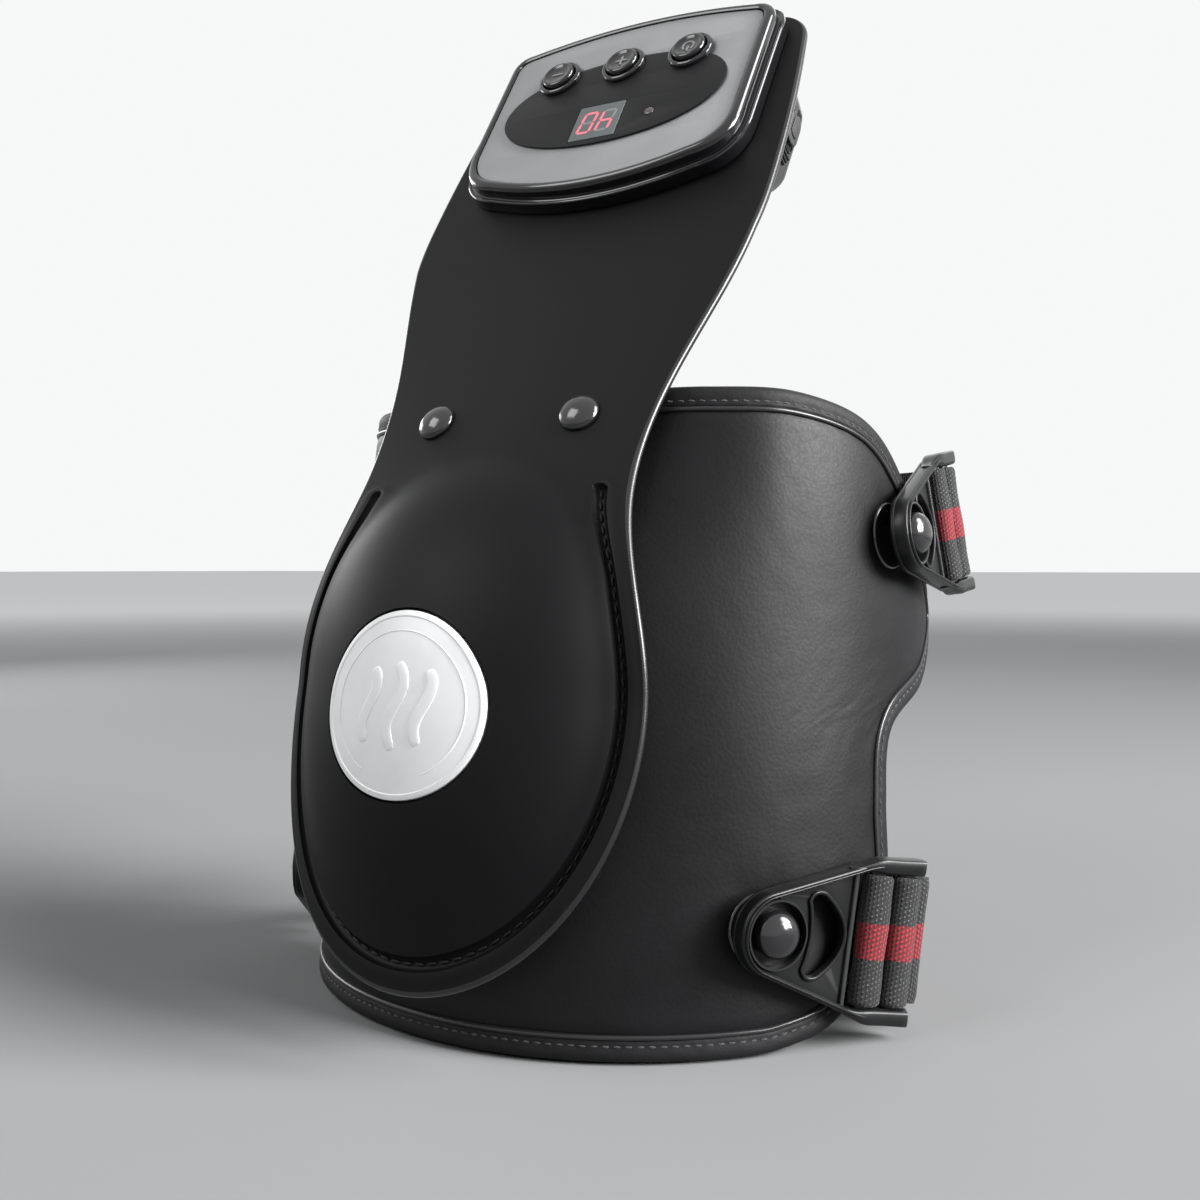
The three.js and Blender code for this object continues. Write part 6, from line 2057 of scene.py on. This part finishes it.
@dataclass
class Buckle:
    """A moulded triangular buckle with its stud boss, crescent window, raised rims and two bars."""

    wrap: Wrap
    finishes: Finishes
    apex: float = 12.4
    flare: float = 26.0
    length: float = 50.0
    half: float = 24.0
    low: float = -2.7
    high: float = 3.7
    floor: float = -0.9
    slot_from: float = 28.3
    slot_half: float = 19.5
    bars: tuple[float, float] = (34.8, 45.4)
    bar_size: tuple[float, float] = (6.2, 3.4)
    stand: float = 8.3

    def axes(self, site: Site, sign: int) -> Axes:
        """Give the axes of one buckle: away from its stud, across it and out of it."""
        base = self.wrap.basis(site.reach, site.height, sign)
        rows = np.stack([base.across, base.up, base.out])
        turned_rows = turn_matrix(site.yaw, site.pitch * sign, site.roll * sign).T @ rows
        return Axes(base.place(np.array([0, 0, self.stand])), *turned_rows)

    def contour(self, inset: float) -> Array:
        """Follow the outer edge from one far end round the apex to the other, at an inset."""
        r, w = self.apex - inset, self.half - inset
        bend = np.array([self.flare, w - 3])
        lean = math.acos(r / np.linalg.norm(bend)) + math.atan2(bend[1], bend[0])
        far = bezier([(self.length - inset * 0.5, w), (self.flare + 8, w), bend], 16)
        turn = np.linspace(lean, 2 * math.pi - lean, 48)
        arc = stacked(r * np.cos(turn), r * np.sin(turn))
        straight = bezier([bend, arc[0]], 10)
        upper = np.vstack([far, straight])
        return np.vstack([upper, arc, upper[::-1] * (1, -1)])

    def window(self, grow: float) -> Array:
        """Give the crescent window's outline."""
        g = grow
        bend, shoulder = (12.2 - g * 0.8, 9.6 + g * 0.3), (16.6 + g * 0.4, 11.6 + g * 0.8)
        half_line = np.vstack([
            bezier([(14.0 - g, 0), (14.0 - g, 5.2), bend], 12),
            bezier([bend, (12.6 + g * 0.1, 12.6 + g), shoulder], 8),
            bezier([shoulder, (24.9 + g, 6.4), (24.9 + g, 0)], 18),
        ])
        return np.vstack([half_line, half_line[:0:-1] * (1, -1)])

    def body(self, axes: Axes, name: str) -> Piece:
        """Build the moulding."""
        finish = self.finishes.buckle
        outer = self.contour(0.55)
        slot = np.array([(self.length - 0.4, -self.slot_half), (self.slot_from + 0.8, -self.slot_half),
                         (self.slot_from, -self.slot_half + 0.8), (self.slot_from, self.slot_half - 0.8),
                         (self.slot_from + 0.8, self.slot_half), (self.length - 0.4, self.slot_half)])
        floor = plate(f"{name}_floor", [np.vstack([outer, slot]), self.window(0), circle(0, 0, 4.3, 48)],
                      self.low, self.floor, finish, 0.3, axes)
        net = Net()

        def rib(line: Array, width: float, low: float, high: float, ring: bool = False,
                power: float = 0.55) -> None:
            """Add a wall along a flat line."""
            net.cord(level(line, (low + high) / 2), oval(width, high - low, 14, power), ring=ring)

        edge = self.contour(1.0)
        rib(edge, 1.9, self.low + 0.1, self.high - 0.9)
        rib(self.contour(1.15), 0.75, self.high - 1.5, self.high, power=1.0)
        rib(self.contour(0.3), 0.8, self.low - 0.05, self.low + 1.3, power=1.0)
        rib(self.window(0.7), 1.3, self.floor - 0.6, self.floor + 0.85, ring=True, power=0.8)
        rib(circle(0, 0, 9.7, 56), 1.15, self.low + 0.4, self.high - 1.2, ring=True)
        rib(circle(0, 0, 5.2, 40), 1.2, self.low + 0.1, self.floor + 0.55, ring=True)
        at, reach = self.slot_from - 0.95, self.slot_half + 1.4
        rib(np.array([(at, -reach), (at, reach)]), 1.7, self.low + 0.1, self.floor + 1.0)
        for sign in (1, -1):
            loops = []
            wall = (self.slot_half + 0.05, self.half)
            for share in np.linspace(0, 1, 24):
                a = lerp(self.slot_from - 5.0, self.length + 0.7, share)
                ease = float(smooth(share * 2.2))
                swell = 1.0 + 0.9 * float(smooth((share - 0.55) / 0.45))
                end = math.sqrt(max(1 - max(abs(share - 0.5) * 2 - 0.9, 0) ** 2 / 0.01, 0.02))
                inside = lerp(wall[0] + 2.2 - 3.2 * (1 - ease), wall[0], ease)
                outside = lerp(self.half - 3.4, wall[1] + 0.25 * swell, ease)
                tall = lerp(0.55, 1.0, ease) * end
                middle_c, half_c = (self.low + self.high) / 2, (self.high - self.low) / 2 * tall + 0.1
                section = oval(outside - inside, 2 * half_c, 20, 0.42)
                bulge = 0.22 * swell * (section[:, 1] / half_c) ** 2
                b = sign * ((inside + outside) / 2 + section[:, 0] + bulge)
                loops.append(stacked(a, b, middle_c + section[:, 1]))
            net.loft(loops)
        for at in self.bars:
            path = np.linspace([at, -self.slot_half - 0.6, 0], [at, self.slot_half + 0.6, 0], 8)
            net.cord(path, oval(*self.bar_size, 24))
        ribs = net.object(f"{name}_ribs", [finish], 44, axes)
        return joined(name, [floor, ribs])

    def winding(self, axes: Axes, name: str) -> Piece:
        """Build the webbing wound round both bars, ribbed along its run."""
        net = Net()
        turns, columns = 132, 57
        wide, high = (v / 2 + 0.3 for v in self.bar_size)
        angle = np.arange(turns) * 2 * math.pi / turns
        half = 19.0
        for k, at in enumerate(self.bars):
            run = angle * 4.55
            across = np.linspace(-half, half, columns)
            edge = np.clip((half - np.abs(across)) / 0.9, 0, 1)
            lift = (1.25 + 0.55 * np.sqrt(edge))[:, None]
            rows = (0.5 + 0.5 * np.sin(run * 2 * math.pi / 1.3))[None, :]
            rungs = (0.5 + 0.5 * np.sin((across * 1.0)[:, None] * 2 * math.pi / 2.05 + run[None, :] * 1.1))
            relief = 0.17 * rows * (0.35 + 0.65 * rungs) * edge[:, None]
            slack = 0.14 * np.sin(across * 0.31 + 2.1 * k)[:, None] + 0.08 * np.sin(angle * 3 + k)[None, :]
            grow = lift + relief + slack * edge[:, None] - 0.1
            x = at + (wide + grow) * np.cos(angle)[None, :]
            z = (high + grow) * np.sin(angle)[None, :]
            y = np.broadcast_to(across[:, None], x.shape)
            outer = stacked(x, y, z)
            inner = stacked(at + wide * np.cos(angle), y, high * np.sin(angle))
            spans = stacked(run[None, :], across[:, None])
            stack = np.concatenate([outer, inner[::-1]], axis=0)
            net.loft(list(stack), ring=True, span=np.concatenate([spans, spans[::-1]], axis=0))
        return net.object(name, [self.finishes.webbing], 50, axes)

    def build(self) -> None:
        """Build four buckles, each with its winding."""
        for site in SITES:
            for side, sign in SIDES:
                axes = self.axes(site, sign)
                name = f"buckle_{side}_{site.level}"
                show(self.body(axes, f"{name}_moulding"), name, [name])
                wound = self.winding(axes, f"wound_webbing_{side}_{site.level}")
                show(wound, name, [f"winding_{side}_{site.level}"])


@dataclass
class Strap:
    """The webbing behind the leg: two ribbons at each level, sewn where they lap."""

    buckle: Buckle
    finishes: Finishes
    half: float = 19.0
    thickness: float = 1.8
    lap: float = 0.07
    fixed_reach: float = 0.012
    free_reach: float = 0.3
    hung_reach: float = 0.19
    rows: int = 150
    columns: int = 17

    def path(self, site: Site) -> tuple[Spline, Array]:
        """Give the way round the leg at one level and the buckle's upward direction."""
        axes = self.buckle.axes(site, 1)
        back = -self.buckle.bar_size[1] / 2 - 0.3 - self.thickness / 2
        out = self.buckle.bars[1] + self.buckle.bar_size[0] / 2 + self.thickness + 0.6
        start = axes.place(np.array([out, 0, back]))
        past = start + 7 * axes.across + (-1.5, 0, 0)
        if site.hang is None:
            beside, behind = lerp(past[2], start[2], 0.2), lerp(past[2], start[2], 0.5)
        else:
            behind = site.hang + self.buckle.wrap.shift[2]
            beside = lerp(past[2], behind, 0.6)
        half = [
            start, past, (past[0] * 0.88, past[1] + 0.42 * site.sag, beside),
            (past[0] * 0.5, past[1] + 0.86 * site.sag, behind), (0.0, past[1] + site.sag, behind),
        ]
        mirror = [(-p[0], p[1], p[2]) for p in half[:4][::-1]]
        return Spline([*half, *mirror]), axes.up

    def ribbon(self, site: Site, side: str, lap_side: int) -> Piece:
        """Build one ribbon, from its buckle to past the middle."""
        way, rise = self.path(site)
        own = np.linspace(0, 0.5 + self.lap, self.rows)
        f = own if lap_side > 0 else 1 - own
        p, run = way.at(f), way.heading(f)
        near = smooth(1 - np.minimum(f, 1 - f) * 5)[:, None]
        lean = np.where((f < 0.5)[:, None], rise, rise * (-1, 1, 1))
        up = lerp(UP, lean, near)
        up = unit(up - run * np.sum(up * run, axis=1, keepdims=True))
        thin = unit(np.cross(run, up)) * (self.thickness / 2)
        lapped = smooth((own - 0.5 + 2 * self.lap) / self.lap)[:, None] * lap_side
        p = p + thin * lapped * ((self.thickness + 0.3) / self.thickness)
        b = np.linspace(-1, 1, self.columns)
        edge = np.clip((1 - np.abs(b)) * self.half / 0.9, 0, 1)
        thick = (0.45 + 0.55 * np.sqrt(edge))[None, :, None]
        curl = (0.35 * b**2 * smooth(own * 6)[:, None])[..., None]
        places = p[:, None, :] + up[:, None, :] * (b * self.half)[None, :, None]
        outer = places + thin[:, None, :] * (thick + curl)
        inner = places - thin[:, None, :] * (thick - curl)
        span = stacked((own * way.length)[:, None], (b * self.half)[None, :])
        stack = np.concatenate([outer, inner[:, ::-1]], axis=1)
        return lofted(f"strap_ribbon_{side}_{site.level}", list(stack), self.finishes.webbing, 60,
                      span=np.concatenate([span, span[:, ::-1]], axis=1))

    def lap_stitches(self, site: Site) -> Array:
        """Give the run of the box stitch on the outer ribbon's end, as points and directions."""
        way, _ = self.path(site)
        own = np.linspace(0.5 - self.lap * 0.86, 0.5 + self.lap * 0.86, 60)
        p, run = way.at(own), way.heading(own)
        up = unit(UP - run * run[:, 2:3])
        thin = unit(np.cross(run, up))
        face = p + thin * (self.thickness + 0.3 + 0.05)
        top, low = face + up * (self.half - 3.4), face - up * (self.half - 3.4)
        return np.vstack([top, low[::-1], top[:1]])

    def build(self) -> None:
        """Build all four ribbons and the sewing where they lap."""
        for site in SITES:
            for side, sign in SIDES:
                piece = self.ribbon(site, side, sign)
                way, _ = self.path(site)
                reach = self.free_reach if site.hang is None else self.hung_reach
                shares = (self.fixed_reach, reach)
                if sign < 0:
                    shares = (1 - self.fixed_reach, 1 - reach)
                near, far = (tuple(way.at(v) * MM) for v in shares)
                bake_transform(piece)
                nodes = [f"strap_{side}_{site.level}"]
                if site.hang is not None:
                    nodes.append(f"strap_rear_{side}_{site.level}")
                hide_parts(*nodes)
            sewn = Seam("lap_sewing_" + site.level, self.finishes.thread, pitch=2.9, long=2.0, thick=0.6)
            show(sewn.build([self.lap_stitches(site)]), "base")


# Studio


@dataclass(frozen=True)
class Lamp:
    """A soft rectangular lamp aimed at the massager."""

    name: str
    place: tuple[float, float, float]
    width: float
    height: float
    power: float
    spread: float = 180.0

    def build(self) -> None:
        """Hang the lamp."""
        data = bpy.data.lights.new(self.name, "AREA")
        data.shape = "RECTANGLE"
        data.size, data.size_y, data.energy = self.width, self.height, self.power
        data.spread = math.radians(self.spread)
        lamp = placed(self.name, data)
        lamp.location = self.place
        aim = Vector((0.0, 0.0, 0.17)) - Vector(self.place)
        lamp.rotation_euler = aim.to_track_quat("-Z", "Y").to_euler()


@dataclass(frozen=True)
class Skylight:
    """A wide soft light from one side, the same all over the floor."""

    name: str
    away: tuple[float, float, float]
    spread: float
    strength: float

    def build(self) -> None:
        """Hang the light."""
        data = bpy.data.lights.new(self.name, "SUN")
        data.angle, data.energy = math.radians(self.spread), self.strength
        lamp = placed(self.name, data)
        lamp.rotation_euler = (-Vector(self.away)).to_track_quat("-Z", "Y").to_euler()


@dataclass
class Studio:
    """Pale floor, soft lamps and the camera."""

    turn: float = math.radians(30.79)
    distance: float = 452.3
    height: float = 138.8
    aside: float = 9.0
    focus: float = 1332.8
    horizon: float = 567.5
    frame_side: float = 1200.0
    sensor: float = 36.0
    soft: tuple[tuple[float, float, float], float] = ((0.95, 0.97, 1.0), 0.13)
    pale: tuple[tuple[float, float, float], float] = ((0.93, 0.935, 0.94), 1.0)
    floor_half: float = 40000.0
    floor_drop: float = 0.4

    def camera(self, shift: Array) -> None:
        """Set the camera where the photograph was taken from."""
        data = bpy.data.cameras.new("camera")
        data.sensor_fit = "HORIZONTAL"
        data.sensor_width = self.sensor
        data.lens = self.focus / self.frame_side * self.sensor
        data.shift_y = (self.horizon - self.frame_side / 2) / self.frame_side
        data.clip_start = 0.01
        camera = placed("camera", data)
        a, d, c = self.turn, self.distance, self.aside
        x, y = math.sin(a) * d + math.cos(a) * c, math.sin(a) * c - math.cos(a) * d
        camera.location = (np.array([x, y, self.height]) + shift) * MM
        camera.rotation_euler = (math.pi / 2, 0, a)
        bpy.context.scene.camera = camera

    def floor(self) -> None:
        """Lay the floor, painted darker near the massager and pale far off: painted light that evens out the
        lamps' fall-off.
        """
        net = Net()
        side = np.linspace(-self.floor_half, self.floor_half, 41)
        net.grid(stacked(*np.meshgrid(side, side), -self.floor_drop))
        s = Shader("pale_floor")
        place = s.place()
        away = s.node("ShaderNodeVectorMath", {"operation": "LENGTH"}, {0: place}, "Value")
        wander = s.cloud(place, 0.7, 2.0)
        near = s.mixed(wander, (0.25, 0.253, 0.256), (0.275, 0.278, 0.281))
        # Painted light: the floor is painted dark near the massager, where the lamps are strong, and pale far
        # off, where they don't reach.
        s.dress(base_color=s.mixed(away.eased(1.5, 4.4), near, (0.86, 0.865, 0.87)), roughness=0.75,
                specular_ior_level=0.0)
        net.object("floor", [s.material])

    def backdrop(self) -> None:
        """Light the world softly and show a pale background to the camera, gloss and glass."""
        world = bpy.data.worlds.new("studio")
        bpy.context.scene.world = world
        world.use_nodes = True
        tree = world.node_tree
        tree.nodes.clear()
        rays = tree.nodes.new("ShaderNodeLightPath")
        mix, sink = tree.nodes.new("ShaderNodeMixShader"), tree.nodes.new("ShaderNodeOutputWorld")
        for place, (colour, strength) in enumerate((self.soft, self.pale)):
            light = tree.nodes.new("ShaderNodeBackground")
            light.inputs[0].default_value, light.inputs[1].default_value = (*colour, 1), strength
            tree.links.new(light.outputs[0], mix.inputs[place + 1])
        seen = rays.outputs["Is Camera Ray"]
        for kind in ("Is Glossy Ray", "Is Transmission Ray"):
            either = tree.nodes.new("ShaderNodeMath")
            either.operation = "MAXIMUM"
            tree.links.new(seen, either.inputs[0])
            tree.links.new(rays.outputs[kind], either.inputs[1])
            seen = either.outputs[0]
        tree.links.new(seen, mix.inputs[0])
        tree.links.new(mix.outputs[0], sink.inputs[0])

    def build(self, shift: Array) -> None:
        """Set up the whole studio."""
        self.camera(shift)
        self.floor()
        self.backdrop()
        for lamp in (
            Lamp("key_softbox", (-0.9, -1.5, 1.5), 1.1, 1.1, 21),
            Lamp("side_softbox", (1.9, 0.25, 0.85), 1.1, 0.8, 38, 110.0),
            Lamp("rear_softbox", (-0.4, 1.7, 1.15), 1.6, 0.7, 5),
            Lamp("left_strip", (-1.5, 0.35, 0.6), 1.2, 0.35, 7),
            Skylight("skylight", (0.7, 0.2, 0.65), 26, 2.3),
        ):
            lamp.build()
        bpy.context.scene.view_settings.view_transform = "Standard"


def main() -> None:
    """Build the studio and every sub-assembly in order."""
    logging.basicConfig(level=logging.INFO, format="%(message)s")
    shift = stand_shift()
    finishes = Finishes()
    Studio().build(shift)
    wrap = Wrap(shift=shift)
    tongue = Tongue(shift=shift)
    WrapPad(wrap, finishes).build()
    TonguePiece(tongue, finishes).build()
    Binding(wrap, finishes).build()
    Groove(tongue, finishes).build()
    Tray(tongue, wrap, finishes).build()
    Rivet(tongue, finishes).build()
    Stud(wrap, finishes).build()
    seat = tongue.panel(shift)
    Panel(seat, finishes).build()
    Battery(seat, finishes).build()
    buckle = Buckle(wrap, finishes)
    buckle.build()
    Strap(buckle, finishes).build()
    dress_nodes(finishes)


if __name__ == "__main__":
    main()
